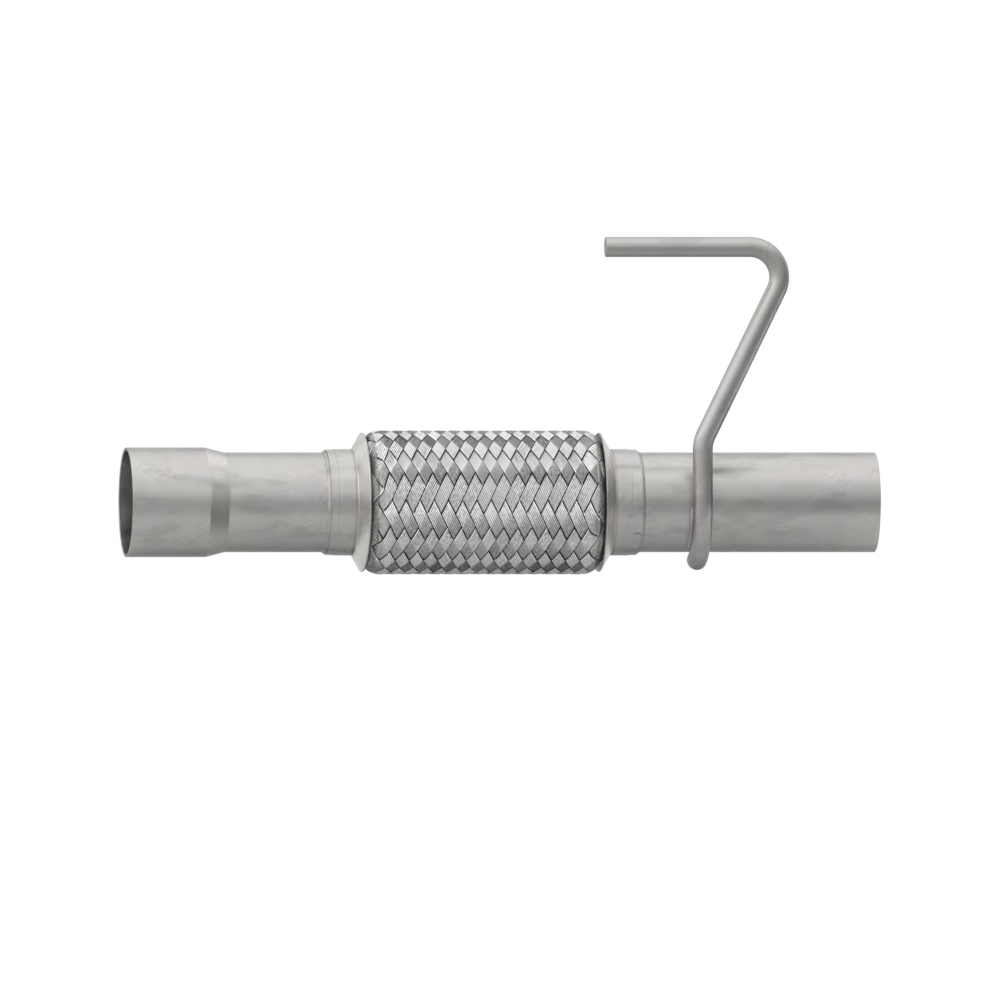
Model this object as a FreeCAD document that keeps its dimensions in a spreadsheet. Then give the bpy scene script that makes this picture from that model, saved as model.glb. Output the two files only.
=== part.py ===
# Intermediate exhaust pipe: an inlet pipe with a widened socket, a braided flexible
# coupling between two flared end caps, an outlet pipe, and a bent rod hanger.
# Frame: +X along the gas flow, +Z up, the origin at the centre of the inlet face.
# Everything is in millimetres.

import FreeCAD
import Part
import Sketcher
import math
import os

doc = FreeCAD.newDocument("intermediate_pipe")

# The driving sizes, one named cell each

sizes = doc.addObject("Spreadsheet::Sheet", "sizes")

DRIVING_SIZES = [
    ("overall_length", 378.8),
    ("pipe_diameter", 50.0),
    ("pipe_wall", 1.5),
    ("cut_edge_round", 0.25),
    ("socket_clearance", 1.0),
    ("socket_length", 40.0),
    ("socket_taper_length", 9.8),
    ("socket_bend_round", 3.0),
    ("flex_centre", 179.35),
    ("coupling_reach", 78.55),
    ("pipe_insert", 11.55),
    ("cuff_clearance", 0.06),
    ("cap_wall", 1.0),
    ("cap_collar_length", 13.55),
    ("cap_lip_step", 0.23),
    ("cap_lip_length", 4.0),
    ("cap_flare_angle", 60.0),
    ("cap_flare_height", 8.27),
    ("cap_bend_round", 1.0),
    ("weld_width", 1.9),
    ("weld_height", 0.7),
    ("weld_round", 0.5),
    ("bellows_ply", 0.25),
    ("bellows_clearance", 0.52),
    ("bellows_fold_height", 6.9),
    ("bellows_end_gap", 10.76),
    ("bellows_folds", 16),
    ("liner_gap", 0.5),
    ("liner_wall", 0.5),
    ("liner_ridge_height", 1.4),
    ("liner_cuff_length", 16.1),
    ("liner_turns", 24),
    ("braid_clearance", 0.42),
    ("braid_wall", 1.4),
    ("braid_shoulder_round", 9.7),
    ("braid_shoulder_gap", 4.0),
    ("braid_neck_round", 1.2),
    ("braid_hem_clearance", 0.3),
    ("braid_hem_wall", 0.68),
    ("braid_hem_gap", 1.5),
    ("braid_strands", 16),
    ("braid_cell_length", 7.18),
    ("braid_weave_shift", 4.11),
    ("braid_weave_turn", 2.1),
    ("braid_groove_depth", 0.6),
    ("braid_strand_dip", 0.25),
    ("braid_strand_edge", 0.95),
    ("hanger_rod_diameter", 10.0),
    ("hanger_setback", 30.1),
    ("hanger_arm_height", 128.05),
    ("hanger_arm_length", 72.95),
    ("hanger_top_bend", 15.0),
    ("hanger_low_bend", 16.0),
    ("hanger_knee_height", 30.5),
    ("hanger_leg_slant", 26.05),
    ("hanger_wrap_angle", 76.0),
    ("hanger_weld_start", 4.0),
    ("hanger_weld_end", 6.0),
    ("hanger_weld_root", 1.3),
    ("hanger_weld_toe", 0.6),
    ("hanger_weld_height", 1.46),
]

for row, (alias, number) in enumerate(DRIVING_SIZES, start=1):
    sizes.set(f"A{row}", alias)
    sizes.set(f"B{row}", str(number))
    sizes.setAlias(f"B{row}", alias)
doc.recompute()

# The sizes that follow from the driving ones, so that what fits together stays together

FITTED_SIZES = [
    ("pipe_r", "sizes.pipe_diameter / 2"),
    ("bore_r", "fitted.pipe_r - sizes.pipe_wall"),
    ("socket_bore_r", "fitted.pipe_r + sizes.socket_clearance"),
    ("socket_r", "fitted.socket_bore_r + sizes.pipe_wall"),
    ("taper_end", "sizes.socket_length + sizes.socket_taper_length"),
    (
        "taper_shift",
        "sizes.pipe_wall * tan(atan((fitted.socket_r - fitted.pipe_r) / sizes.socket_taper_length) / 2)",
    ),
    ("pipe_end_reach", "sizes.coupling_reach - sizes.pipe_insert"),
    ("flare_reach", "sizes.coupling_reach - sizes.cap_collar_length"),
    ("lip_start_reach", "sizes.coupling_reach - sizes.cap_lip_length"),
    ("cuff_line_r", "fitted.pipe_r + sizes.cuff_clearance + fitted.ply_offset"),
    ("cuff_outside_r", "fitted.pipe_r + 2 * (sizes.cuff_clearance + sizes.bellows_ply)"),
    ("cap_bore_r", "fitted.cuff_outside_r + sizes.cuff_clearance"),
    ("collar_r", "fitted.cap_bore_r + sizes.cap_wall"),
    ("lip_r", "fitted.collar_r - sizes.cap_lip_step"),
    ("rim_r", "fitted.collar_r + sizes.cap_flare_height"),
    ("weld_crown_r", "fitted.pipe_r + sizes.weld_height"),
    ("liner_r", "fitted.pipe_r + sizes.liner_ridge_height"),
    ("liner_reach", "fitted.pipe_end_reach - sizes.liner_gap"),
    ("liner_pitch", "2 * (fitted.liner_reach - sizes.liner_cuff_length) / sizes.liner_turns"),
    ("ply_offset", "sizes.bellows_ply + sizes.cuff_clearance / 2"),
    ("root_line_r", "fitted.liner_r + sizes.bellows_clearance + fitted.ply_offset"),
    ("crest_line_r", "fitted.root_line_r + sizes.bellows_fold_height"),
    ("bellows_pitch", "2 * (fitted.flare_reach - sizes.bellows_end_gap) / sizes.bellows_folds"),
    (
        "braid_r",
        "fitted.crest_line_r + fitted.ply_offset + sizes.braid_clearance + sizes.braid_wall",
    ),
    ("braid_hem_r", "fitted.cuff_outside_r + sizes.braid_hem_clearance + sizes.braid_hem_wall"),
    ("braid_hem_reach", "fitted.flare_reach - sizes.braid_hem_gap"),
    (
        "braid_straight_reach",
        "fitted.flare_reach - sizes.braid_shoulder_gap - sizes.braid_shoulder_round",
    ),
    ("rod_r", "sizes.hanger_rod_diameter / 2"),
    ("rod_centre_r", "fitted.pipe_r + fitted.rod_r"),
    ("hanger_station", "sizes.flex_centre + sizes.coupling_reach + sizes.hanger_setback"),
    (
        "hanger_weld_angle",
        "sizes.hanger_wrap_angle - sizes.hanger_weld_start - sizes.hanger_weld_end",
    ),
]

fitted = doc.addObject("App::VarSet", "fitted")
for name, rule in FITTED_SIZES:
    fitted.addProperty("App::PropertyFloat", name)
    fitted.setExpression(name, rule)
doc.recompute()


def size(name):
    """The number in one cell of the sheet, or one fitted size."""
    holder = fitted if hasattr(fitted, name) else sizes
    return float(getattr(holder, name))


# The radii that most outlines use

PIPE_R = "fitted.pipe_r"
BORE_R = "fitted.bore_r"
SOCKET_R = "fitted.socket_r"
SOCKET_BORE_R = "fitted.socket_bore_r"
COLLAR_R = "fitted.collar_r"
CAP_BORE_R = "fitted.cap_bore_r"
ROD_R = "fitted.rod_r"
ROD_CENTRE_R = "fitted.rod_centre_r"

# Two places closer than this are the same place
SAME_SPOT = 0.01

# Corners of the woven sleeve's faces closer than this are sewn together
MESH_TOLERANCE = 0.001

# How much of a wall the round on its cut rim may take, so that two rounds don't meet
RIM_SHARE = 0.48

# Rings that the sleeve's smooth inner wall has on each shoulder
SHOULDER_RINGS = 9


def origin_feature(body, role):
    """One of the body's own origin planes or axes."""
    return next(f for f in body.Origin.OriginFeatures if f.Role == role)


def new_body(label):
    """An empty body with its own label."""
    body = doc.addObject("PartDesign::Body", label)
    body.Label = label
    return body


def new_sketch(body, name, plane_role):
    """A sketch on one of the body's own origin planes."""
    sketch = body.newObject("Sketcher::SketchObject", name)
    sketch.AttachmentSupport = [(origin_feature(body, plane_role), "")]
    sketch.MapMode = "FlatFace"
    return sketch


def place_point(sketch, geometry, end, across, up):
    """Ties one point of a sketch to two expressions, its distances from the origin."""
    for kind, axis, expression in (("DistanceX", -2, across), ("DistanceY", -1, up)):
        if expression == "0":
            sketch.addConstraint(Sketcher.Constraint("PointOnObject", geometry, end, axis))
            continue
        number = sketch.evalExpression(expression)
        number = float(getattr(number, "Value", number))
        index = sketch.addConstraint(
            Sketcher.Constraint(kind, -1, 1, geometry, end, number)
        )
        sketch.setExpression(f"Constraints[{index}]", expression)


def draw_outline(sketch, corners):
    """A closed outline of straight lines through corners given as pairs of expressions."""
    spots = []
    for across, up in corners:
        pair = [sketch.evalExpression(e) for e in (across, up)]
        pair = [float(getattr(p, "Value", p)) for p in pair]
        spots.append(FreeCAD.Vector(pair[0], pair[1], 0))
    count = len(spots)
    for i in range(count):
        sketch.addGeometry(Part.LineSegment(spots[i], spots[(i + 1) % count]), False)
    for i in range(count):
        sketch.addConstraint(Sketcher.Constraint("Coincident", i, 2, (i + 1) % count, 1))
    for i, (across, up) in enumerate(corners):
        place_point(sketch, i, 1, across, up)


def draw_circle(sketch, across, up, radius):
    """A circle at a place and of a radius that are given as expressions."""
    sketch.addGeometry(Part.Circle(), False)
    place_point(sketch, 0, 3, across, up)
    number = float(sketch.evalExpression(radius))
    index = sketch.addConstraint(Sketcher.Constraint("Radius", 0, number))
    sketch.setExpression(f"Constraints[{index}]", radius)


def revolve(body, sketch, name, angle="360"):
    """Turns an outline about the sketch's own horizontal axis, which is the pipe's axis."""
    solid = body.newObject("PartDesign::Revolution", name)
    solid.Profile = sketch
    solid.ReferenceAxis = (sketch, ["H_Axis"])
    solid.setExpression("Angle", angle)
    sketch.Visibility = False
    return solid


def ring_edges(shape, spots):
    """Names of the full circles about the X axis at the given (station, radius) spots."""
    names = []
    for number, edge in enumerate(shape.Edges, start=1):
        curve = edge.Curve
        if not isinstance(curve, Part.Circle):
            continue
        for station, radius in spots:
            off = max(abs(curve.Center.x - station), abs(curve.Radius - radius))
            if off < SAME_SPOT:
                names.append(f"Edge{number}")
    return names


def round_rings(body, base, name, spots, radius):
    """Rounds circular edges, found by their place, to one radius from the sheet."""
    doc.recompute()
    numbers = []
    for spot in spots:
        pair = [base.evalExpression(e) for e in spot]
        numbers.append([float(getattr(p, "Value", p)) for p in pair])
    edges = ring_edges(base.Shape, numbers)
    if len(edges) != len(spots):
        raise RuntimeError(f"{name}: found {len(edges)} of {len(spots)} edges")
    fillet = body.newObject("PartDesign::Fillet", name)
    fillet.Base = (base, edges)
    fillet.setExpression("Radius", radius)
    doc.recompute()
    return fillet


# The two pipes


def make_inlet_pipe():
    """A tube with its free end widened to a socket, in one piece."""
    body = new_body("inlet_pipe")
    sketch = new_sketch(body, "inlet_pipe_wall", "XZ_Plane")
    inner_end = "sizes.flex_centre - fitted.pipe_end_reach"
    wide_bend = ("sizes.socket_length", SOCKET_R)
    narrow_bend = ("fitted.taper_end", PIPE_R)
    wide_bore_bend = ("sizes.socket_length - fitted.taper_shift", SOCKET_BORE_R)
    narrow_bore_bend = ("fitted.taper_end - fitted.taper_shift", BORE_R)
    corners = [
        ("0", SOCKET_BORE_R),
        ("0", SOCKET_R),
        wide_bend,
        narrow_bend,
        (inner_end, PIPE_R),
        (inner_end, BORE_R),
        narrow_bore_bend,
        wide_bore_bend,
    ]
    draw_outline(sketch, corners)
    tube = revolve(body, sketch, "inlet_tube")
    bends = [wide_bend, narrow_bend, wide_bore_bend, narrow_bore_bend]
    tube = round_rings(body, tube, "socket_bends", bends, "sizes.socket_bend_round")
    mouth = [("0", SOCKET_BORE_R), ("0", SOCKET_R)]
    tube = round_rings(body, tube, "socket_mouth", mouth, "sizes.cut_edge_round")
    body.Tip = tube
    return body


def make_outlet_pipe():
    """A plain tube from inside the coupling to its cut end."""
    body = new_body("outlet_pipe")
    sketch = new_sketch(body, "outlet_pipe_wall", "XZ_Plane")
    inner_end = "sizes.flex_centre + fitted.pipe_end_reach"
    corners = [
        (inner_end, BORE_R),
        (inner_end, PIPE_R),
        ("sizes.overall_length", PIPE_R),
        ("sizes.overall_length", BORE_R),
    ]
    draw_outline(sketch, corners)
    tube = revolve(body, sketch, "outlet_tube")
    mouth = [("sizes.overall_length", BORE_R), ("sizes.overall_length", PIPE_R)]
    tube = round_rings(body, tube, "outlet_mouth", mouth, "sizes.cut_edge_round")
    body.Tip = tube
    return body


# The flared end caps and the beads that join them to the pipes. Stations count from the
# coupling's centre, towards the inlet for side -1 and towards the outlet for side +1.


def station(side, reach):
    """The place along the pipe of a point that lies reach from the coupling's centre."""
    sign = "+" if side > 0 else "-"
    return f"(sizes.flex_centre {sign} ({reach}))"


def make_end_cap(label, side):
    """A collar with a crimped lip, bent out to a flare with a rounded rim."""
    body = new_body(label)
    sketch = new_sketch(body, f"{label}_wall", "XZ_Plane")
    flare = "sizes.cap_flare_angle"
    # the rim's corner stands out by this much before it is rounded
    corner_r = f"(fitted.rim_r + sizes.cap_wall / 2 * (cos({flare}) + sin({flare}) - 1))"
    corner_reach = f"(fitted.flare_reach - ({corner_r} - {COLLAR_R}) / tan({flare}))"
    bend = (station(side, "fitted.flare_reach"), COLLAR_R)
    bore_bend = (
        station(side, f"fitted.flare_reach - sizes.cap_wall * tan({flare} / 2)"),
        CAP_BORE_R,
    )
    rim_outside = (station(side, corner_reach), corner_r)
    rim_inside = (
        station(side, f"{corner_reach} - sizes.cap_wall * sin({flare})"),
        f"({corner_r} - sizes.cap_wall * cos({flare}))",
    )
    lip_end = station(side, "sizes.coupling_reach")
    lip_start = station(side, "fitted.lip_start_reach")
    corners = [
        (lip_end, CAP_BORE_R),
        (lip_end, "fitted.lip_r"),
        (lip_start, "fitted.lip_r"),
        (lip_start, COLLAR_R),
        bend,
        rim_outside,
        rim_inside,
        bore_bend,
    ]
    draw_outline(sketch, corners)
    cap = revolve(body, sketch, f"{label}_ring")
    rim_round = f"sizes.cap_wall * {RIM_SHARE}"
    cap = round_rings(body, cap, f"{label}_rim", [rim_outside, rim_inside], rim_round)
    cap = round_rings(body, cap, f"{label}_bend", [bend], "sizes.cap_bend_round")
    throat_round = "sizes.cap_bend_round + sizes.cap_wall"
    cap = round_rings(body, cap, f"{label}_throat", [bore_bend], throat_round)
    body.Tip = cap
    return body


def make_pipe_weld(label, side):
    """The bead between a pipe and the lip of its end cap."""
    body = new_body(label)
    sketch = new_sketch(body, f"{label}_section", "XZ_Plane")
    near = station(side, "sizes.coupling_reach")
    far = station(side, "sizes.coupling_reach + sizes.weld_width")
    crown = "fitted.weld_crown_r"
    draw_outline(sketch, [(near, PIPE_R), (near, crown), (far, crown), (far, PIPE_R)])
    bead = revolve(body, sketch, f"{label}_bead")
    bead = round_rings(body, bead, f"{label}_crown", [(far, crown)], "sizes.weld_round")
    body.Tip = bead
    return body


# The bellows and the liner, thin walls turned about the pipe's axis


def turned_wall(label, edges):
    """A closed outline in the XZ plane, turned about the X axis."""
    wire = Part.Wire(Part.__sortEdges__(edges))
    face = Part.Face(wire)
    axis_point = FreeCAD.Vector(0, 0, 0)
    piece = doc.addObject("Part::Feature", label)
    piece.Label = label
    piece.Shape = face.revolve(axis_point, FreeCAD.Vector(1, 0, 0), 360)
    piece.Placement = FreeCAD.Placement()
    return piece


def flat(x, radius):
    """A point of an outline in the XZ plane."""
    return FreeCAD.Vector(x, 0, radius)


def arc_edge(centre, radius, start_deg, middle_deg, end_deg):
    """An arc in the XZ plane, its angles counted from +X towards +Z."""
    spots = []
    for angle in (start_deg, middle_deg, end_deg):
        turn = math.radians(angle)
        spots.append(centre + flat(radius * math.cos(turn), radius * math.sin(turn)))
    return Part.Arc(*spots).toShape()


def bellows_line(offset):
    """The folded wall's line, moved out by an offset: two cuffs and round-topped folds."""
    middle = size("flex_centre")
    pitch = size("bellows_pitch")
    folds = int(size("bellows_folds"))
    bend = pitch / 4
    reach = size("coupling_reach")
    cuff = size("cuff_line_r") + offset
    crest_centre = size("crest_line_r") - bend
    root_centre = size("root_line_r") + bend
    first = middle - pitch * (folds - 1) / 2
    crest_bend = bend + offset
    root_bend = bend - offset
    edges = []
    at = flat(middle - reach, cuff)
    for fold in range(folds):
        crest = first + fold * pitch
        inner = fold > 0
        root = flat(crest - 2 * bend, root_centre if inner else cuff + root_bend)
        if inner:
            at = root + flat(0, -root_bend)
        else:
            edges.append(Part.makeLine(at, root + flat(0, -root_bend)))
        edges.append(arc_edge(root, root_bend, 270, 315, 360))
        foot = root + flat(root_bend, 0)
        edges.append(Part.makeLine(foot, flat(foot.x, crest_centre)))
        edges.append(arc_edge(flat(crest, crest_centre), crest_bend, 180, 90, 0))
        last = fold == folds - 1
        root = flat(crest + 2 * bend, cuff + root_bend if last else root_centre)
        foot = root + flat(-root_bend, 0)
        edges.append(Part.makeLine(flat(foot.x, crest_centre), foot))
        edges.append(arc_edge(root, root_bend, 180, 225, 270))
        at = root + flat(0, -root_bend)
    edges.append(Part.makeLine(at, flat(middle + reach, cuff)))
    return edges


def make_bellows_ply(label, inside, outside):
    """One thin tube of the bellows, between two offsets from the wall's middle line."""
    lower = bellows_line(inside)
    upper = bellows_line(outside)
    ends = []
    for index, corner in ((0, 0), (-1, 1)):
        low = lower[index].Vertexes[corner].Point
        high = upper[index].Vertexes[corner].Point
        ends.append(Part.makeLine(low, high))
    return turned_wall(label, lower + upper + ends)


def make_inner_liner():
    """A strip-wound tube: plain cuffs, and between them square ridges of one wall."""
    middle = size("flex_centre")
    wall = size("liner_wall")
    low = size("pipe_r")
    high = size("liner_r")
    pitch = size("liner_pitch")
    turns = int(size("liner_turns"))
    reach = size("liner_reach")
    outside = [(middle - reach, low)]
    inside = [(middle - reach, low - wall)]
    for turn in range(turns):
        centre = middle + (turn - (turns - 1) / 2) * pitch
        for x, before, after in (
            (centre - pitch / 4, low, high),
            (centre + pitch / 4, high, low),
        ):
            lean = wall / 2 if after > before else -wall / 2
            outside += [(x - lean, before), (x - lean, after)]
            inside += [(x + lean, before - wall), (x + lean, after - wall)]
    outside.append((middle + reach, low))
    inside.append((middle + reach, low - wall))
    spots = [flat(x, radius) for x, radius in outside + inside[::-1]]
    edges = [Part.makeLine(a, b) for a, b in zip(spots, spots[1:] + spots[:1])]
    return turned_wall("inner_liner", edges)


# The woven sleeve. Its outside follows a line from the hem at one end, over a rounded
# shoulder, along the straight stretch, and down to the hem at the other end.


class SleeveLine:
    """Half of the sleeve's side line, from the middle (0) out to the hem."""

    def __init__(self):
        self.radius = size("braid_r")
        self.straight = size("braid_straight_reach")
        self.shoulder = size("braid_shoulder_round")
        self.neck = size("braid_neck_round")
        self.hem_radius = size("braid_hem_r")
        self.hem_reach = size("braid_hem_reach")
        centre_r = self.radius - self.shoulder
        rise = self.hem_radius + self.neck - centre_r
        span = self.shoulder + self.neck
        self.neck_reach = self.straight + math.sqrt(span**2 - rise**2)
        self.turn = math.pi / 2 - math.asin(rise / span)
        self.shoulder_end = self.straight + self.shoulder * self.turn
        self.neck_end = self.shoulder_end + self.neck * self.turn
        self.length = self.neck_end + self.hem_reach - self.neck_reach

    def spot(self, way):
        """Reach from the middle, radius and outward normal, a given way along the line."""
        if way <= self.straight:
            return way, self.radius, (0.0, 1.0)
        if way <= self.shoulder_end:
            turn = (way - self.straight) / self.shoulder
            normal = (math.sin(turn), math.cos(turn))
            reach = self.straight + self.shoulder * normal[0]
            radius = self.radius - self.shoulder + self.shoulder * normal[1]
            return reach, radius, normal
        if way <= self.neck_end:
            turn = self.turn - (way - self.shoulder_end) / self.neck
            normal = (math.sin(turn), math.cos(turn))
            reach = self.neck_reach - self.neck * normal[0]
            radius = self.hem_radius + self.neck - self.neck * normal[1]
            return reach, radius, normal
        reach = self.neck_reach + way - self.neck_end
        return reach, self.hem_radius, (0.0, 1.0)


def crossing_length(line, half_turn):
    """How long a strand is from one crossing to the next."""
    return math.hypot(size("braid_cell_length") / 2, line.radius * half_turn)


def column_ways(line, half_turn):
    """Places of the weave's columns along the line, both ways from the middle.

    A strand keeps its length, so where the sleeve narrows the columns move apart.
    """
    cell = size("braid_cell_length") / 2
    strand = crossing_length(line, half_turn)
    sides = []
    for side, start in ((1, size("braid_weave_shift")), (-1, -size("braid_weave_shift"))):
        ways = []
        way = start + (0.0 if side > 0 else cell)
        while way < line.neck_end:
            ways.append(side * way)
            around = line.spot(abs(way))[1] * half_turn
            way += math.sqrt(strand**2 - around**2)
        sides.append(ways)
    return sides[1][::-1] + sides[0], len(sides[1])


def make_outer_braid():
    """One wall with the weave as ridges: each strand goes over two and under two."""
    line = SleeveLine()
    middle = size("flex_centre")
    rows = 2 * int(size("braid_strands"))
    half_turn = 2 * math.pi / rows
    first_turn = math.radians(size("braid_weave_turn"))
    groove = size("braid_groove_depth")
    dip = size("braid_strand_dip")
    edge = size("braid_strand_edge") / crossing_length(line, half_turn)
    # a flat between two rows lies lower than its corners, so inner corners stand out more
    stretch = 1 / math.cos(half_turn / 2)
    ways, zero = column_ways(line, half_turn)
    last = len(ways) - 1
    points = []
    facets = []
    found = {}

    def along(column):
        low = min(max(int(math.floor(column)), 0), last - 1)
        return ways[low] + (column - low) * (ways[low + 1] - ways[low])

    def spot(way, row, depth, outset=1.0):
        """Adds a point on the sleeve, or finds the one that is already there."""
        key = (round(way, 6), round(row % rows, 6), round(depth, 6))
        if key not in found:
            reach, radius, normal = line.spot(abs(way))
            side = 1 if way >= 0 else -1
            radius = (radius - depth * normal[1]) * outset
            x = middle + side * (reach - depth * normal[0])
            turn = row * half_turn + first_turn
            found[key] = len(points)
            points.append((x, -radius * math.cos(turn), radius * math.sin(turn)))
        return found[key]

    def fan(ring, heart):
        """Covers the band between two rings of the same count with triangles."""
        count = len(ring)
        for i in range(count):
            j = (i + 1) % count
            facets.append((ring[i], ring[j], heart[j]))
            facets.append((ring[i], heart[j], heart[i]))

    def strand(column, row, cells, rising):
        """The top of one strand over one or two crossings, as a low cushion."""
        climb = 1 if rising else -1

        def at(u, v, depth):
            c = column - (0 if rising else 1) + u - (v if rising else -v)
            r = row - (1 if rising else 0) + climb * u + v
            return spot(along(c), r, depth)

        steps = list(range(cells + 1))
        low = [at(u, 0, groove) for u in steps] + [at(u, 1, groove) for u in steps[::-1]]
        inner = [edge] + steps[1:-1] + [cells - edge]
        depths = [dip] + [0.0] * (cells - 1) + [dip]
        near = [at(u, edge, d) for u, d in zip(inner, depths)]
        far = [at(u, 1 - edge, d) for u, d in zip(inner, depths)][::-1]
        ring = low if rising else low[::-1]
        heart = near + far if rising else (near + far)[::-1]
        fan(ring, heart)
        for i in range(cells):
            a, b = near[i], near[i + 1]
            c, d = far[-1 - (i + 1)], far[-1 - i]
            quad = (a, b, c, d) if rising else (d, c, b, a)
            facets.append((quad[0], quad[1], quad[2]))
            facets.append((quad[0], quad[2], quad[3]))

    inside = range(1, last)
    for row in range(rows):
        for column in range(1, last):
            turns_up = (column - zero + row) % 2 == 0
            if not turns_up:
                continue
            kind = row % 4
            if kind == 0:
                strand(column, row, 2 if column + 1 in inside else 1, True)
            elif kind == 1 and column - 1 not in inside:
                strand(column, row, 1, True)
            elif kind == 3:
                strand(column, row, 2 if column + 1 in inside else 1, False)
            elif kind == 2 and column - 1 not in inside:
                strand(column, row, 1, False)

    hem_wall = size("braid_hem_wall")
    for column, beyond, outward in ((0, 1, -1), (last, last - 1, 1)):
        ring = [spot(ways[column], row, groove) for row in range(rows)]
        for row in range(rows):
            if (column - zero + row) % 2 == 0:
                apex = spot(ways[beyond], row, groove)
                before, here, after = ring[row - 1], ring[row], ring[(row + 1) % rows]
                for pair in ((before, here), (here, after)):
                    facets.append((*pair[::outward], apex))
        side = 1 if ways[column] > 0 else -1
        hem = [spot(side * line.length, row, 0.0) for row in range(rows)]
        lining = [
            spot(side * line.length, row, hem_wall, stretch) for row in range(rows)
        ]
        if side > 0:
            fan(ring, hem)
            fan(hem, lining)
        else:
            fan(hem, ring)
            fan(lining, hem)

    wall = size("braid_wall")
    curve = [
        line.straight + (line.neck_end - line.straight) * i / SHOULDER_RINGS
        for i in range(SHOULDER_RINGS + 1)
    ]
    inner_ways = [-way for way in curve[::-1]] + curve
    inner_ways = [-line.length] + inner_ways + [line.length]
    rings = []
    for way in inner_ways:
        share = (abs(way) - line.straight) / (line.length - line.straight)
        depth = wall + (hem_wall - wall) * max(share, 0.0)
        rings.append([spot(way, row, depth, stretch) for row in range(rows)])
    for left, right in zip(rings, rings[1:]):
        fan(right, left)

    shape = Part.Shape()
    vectors = [FreeCAD.Vector(*p) for p in points]
    shape.makeShapeFromMesh((vectors, facets), MESH_TOLERANCE)
    piece = doc.addObject("Part::Feature", "outer_braid")
    piece.Label = "outer_braid"
    piece.Shape = Part.Solid(Part.Shell(shape.Faces))
    piece.Placement = FreeCAD.Placement()
    return piece


# The hanger


def make_hanger_rod():
    """A round rod: a level arm, a slanted leg, and a hook round the front of the pipe."""
    body = new_body("hanger_rod")
    hook_section = new_sketch(body, "hook_section", "XY_Plane")
    draw_circle(hook_section, "fitted.hanger_station", f"-{ROD_CENTRE_R}", ROD_R)
    hook = revolve(body, hook_section, "hook", "sizes.hanger_wrap_angle")

    path = new_sketch(body, "leg_path", "XZ_Plane")
    path.setExpression("AttachmentOffset.Base.z", ROD_CENTRE_R)
    knee = FreeCAD.Vector(size("hanger_station"), size("hanger_knee_height"), 0)
    slant = math.radians(size("hanger_leg_slant"))
    arm_height = size("hanger_arm_height")
    corner = FreeCAD.Vector(knee.x + (arm_height - knee.y) * math.tan(slant), arm_height, 0)
    leg = (corner - knee).normalize()
    low_cut = size("hanger_low_bend") * math.tan(slant / 2)
    top_cut = size("hanger_top_bend") * math.tan((math.pi / 2 + slant) / 2)
    foot = FreeCAD.Vector(knee.x, 0, 0)
    low_start = knee - FreeCAD.Vector(0, low_cut, 0)
    low_end = knee + leg * low_cut
    top_start = corner - leg * top_cut
    top_end = corner - FreeCAD.Vector(top_cut, 0, 0)
    tip = top_end - FreeCAD.Vector(size("hanger_arm_length"), 0, 0)
    low_centre = low_start + FreeCAD.Vector(size("hanger_low_bend"), 0, 0)
    top_centre = top_end - FreeCAD.Vector(0, size("hanger_top_bend"), 0)
    low_arc = Part.Circle(low_centre, FreeCAD.Vector(0, 0, 1), size("hanger_low_bend"))
    top_arc = Part.Circle(top_centre, FreeCAD.Vector(0, 0, 1), size("hanger_top_bend"))
    path.addGeometry(Part.LineSegment(foot, low_start), False)
    path.addGeometry(Part.ArcOfCircle(low_arc, math.pi - slant, math.pi), False)
    path.addGeometry(Part.LineSegment(low_end, top_start), False)
    path.addGeometry(Part.ArcOfCircle(top_arc, -slant, math.pi / 2), False)
    path.addGeometry(Part.LineSegment(top_end, tip), False)
    joints = [(0, 2, 1, 2), (1, 1, 2, 1), (2, 2, 3, 1), (3, 2, 4, 1)]
    for first, first_end, second, second_end in joints:
        path.addConstraint(
            Sketcher.Constraint("Tangent", first, first_end, second, second_end)
        )
    path.addConstraint(Sketcher.Constraint("Vertical", 0))
    path.addConstraint(Sketcher.Constraint("Horizontal", 4))
    place_point(path, 0, 1, "fitted.hanger_station", "0")
    for kind, items, expression in (
        ("Radius", (1,), "sizes.hanger_low_bend"),
        ("Radius", (3,), "sizes.hanger_top_bend"),
        ("Distance", (4,), "sizes.hanger_arm_length"),
        ("DistanceY", (-1, 1, 4, 2), "sizes.hanger_arm_height"),
        (
            "DistanceY",
            (-1, 1, 0, 2),
            "sizes.hanger_knee_height - sizes.hanger_low_bend * tan(sizes.hanger_leg_slant / 2)",
        ),
    ):
        start = float(path.evalExpression(expression))
        index = path.addConstraint(Sketcher.Constraint(kind, *items, start))
        path.setExpression(f"Constraints[{index}]", expression)
    lean = math.radians(90 - size("hanger_leg_slant"))
    index = path.addConstraint(Sketcher.Constraint("Angle", 2, lean))
    path.setExpression(f"Constraints[{index}]", "(90 - sizes.hanger_leg_slant) * 1 deg")

    leg_section = new_sketch(body, "leg_section", "XY_Plane")
    draw_circle(leg_section, "fitted.hanger_station", f"-{ROD_CENTRE_R}", ROD_R)
    bar = body.newObject("PartDesign::AdditivePipe", "leg_and_arm")
    bar.Profile = leg_section
    bar.Spine = path
    doc.recompute()
    names = []
    for number, edge in enumerate(bar.Shape.Edges, start=1):
        curve = edge.Curve
        if isinstance(curve, Part.Circle) and abs(curve.Center.x - tip.x) < SAME_SPOT:
            names.append(f"Edge{number}")
    cut_end = body.newObject("PartDesign::Fillet", "arm_tip")
    cut_end.Base = (bar, names)
    cut_end.setExpression("Radius", "sizes.cut_edge_round")
    body.Tip = cut_end
    return body


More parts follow.
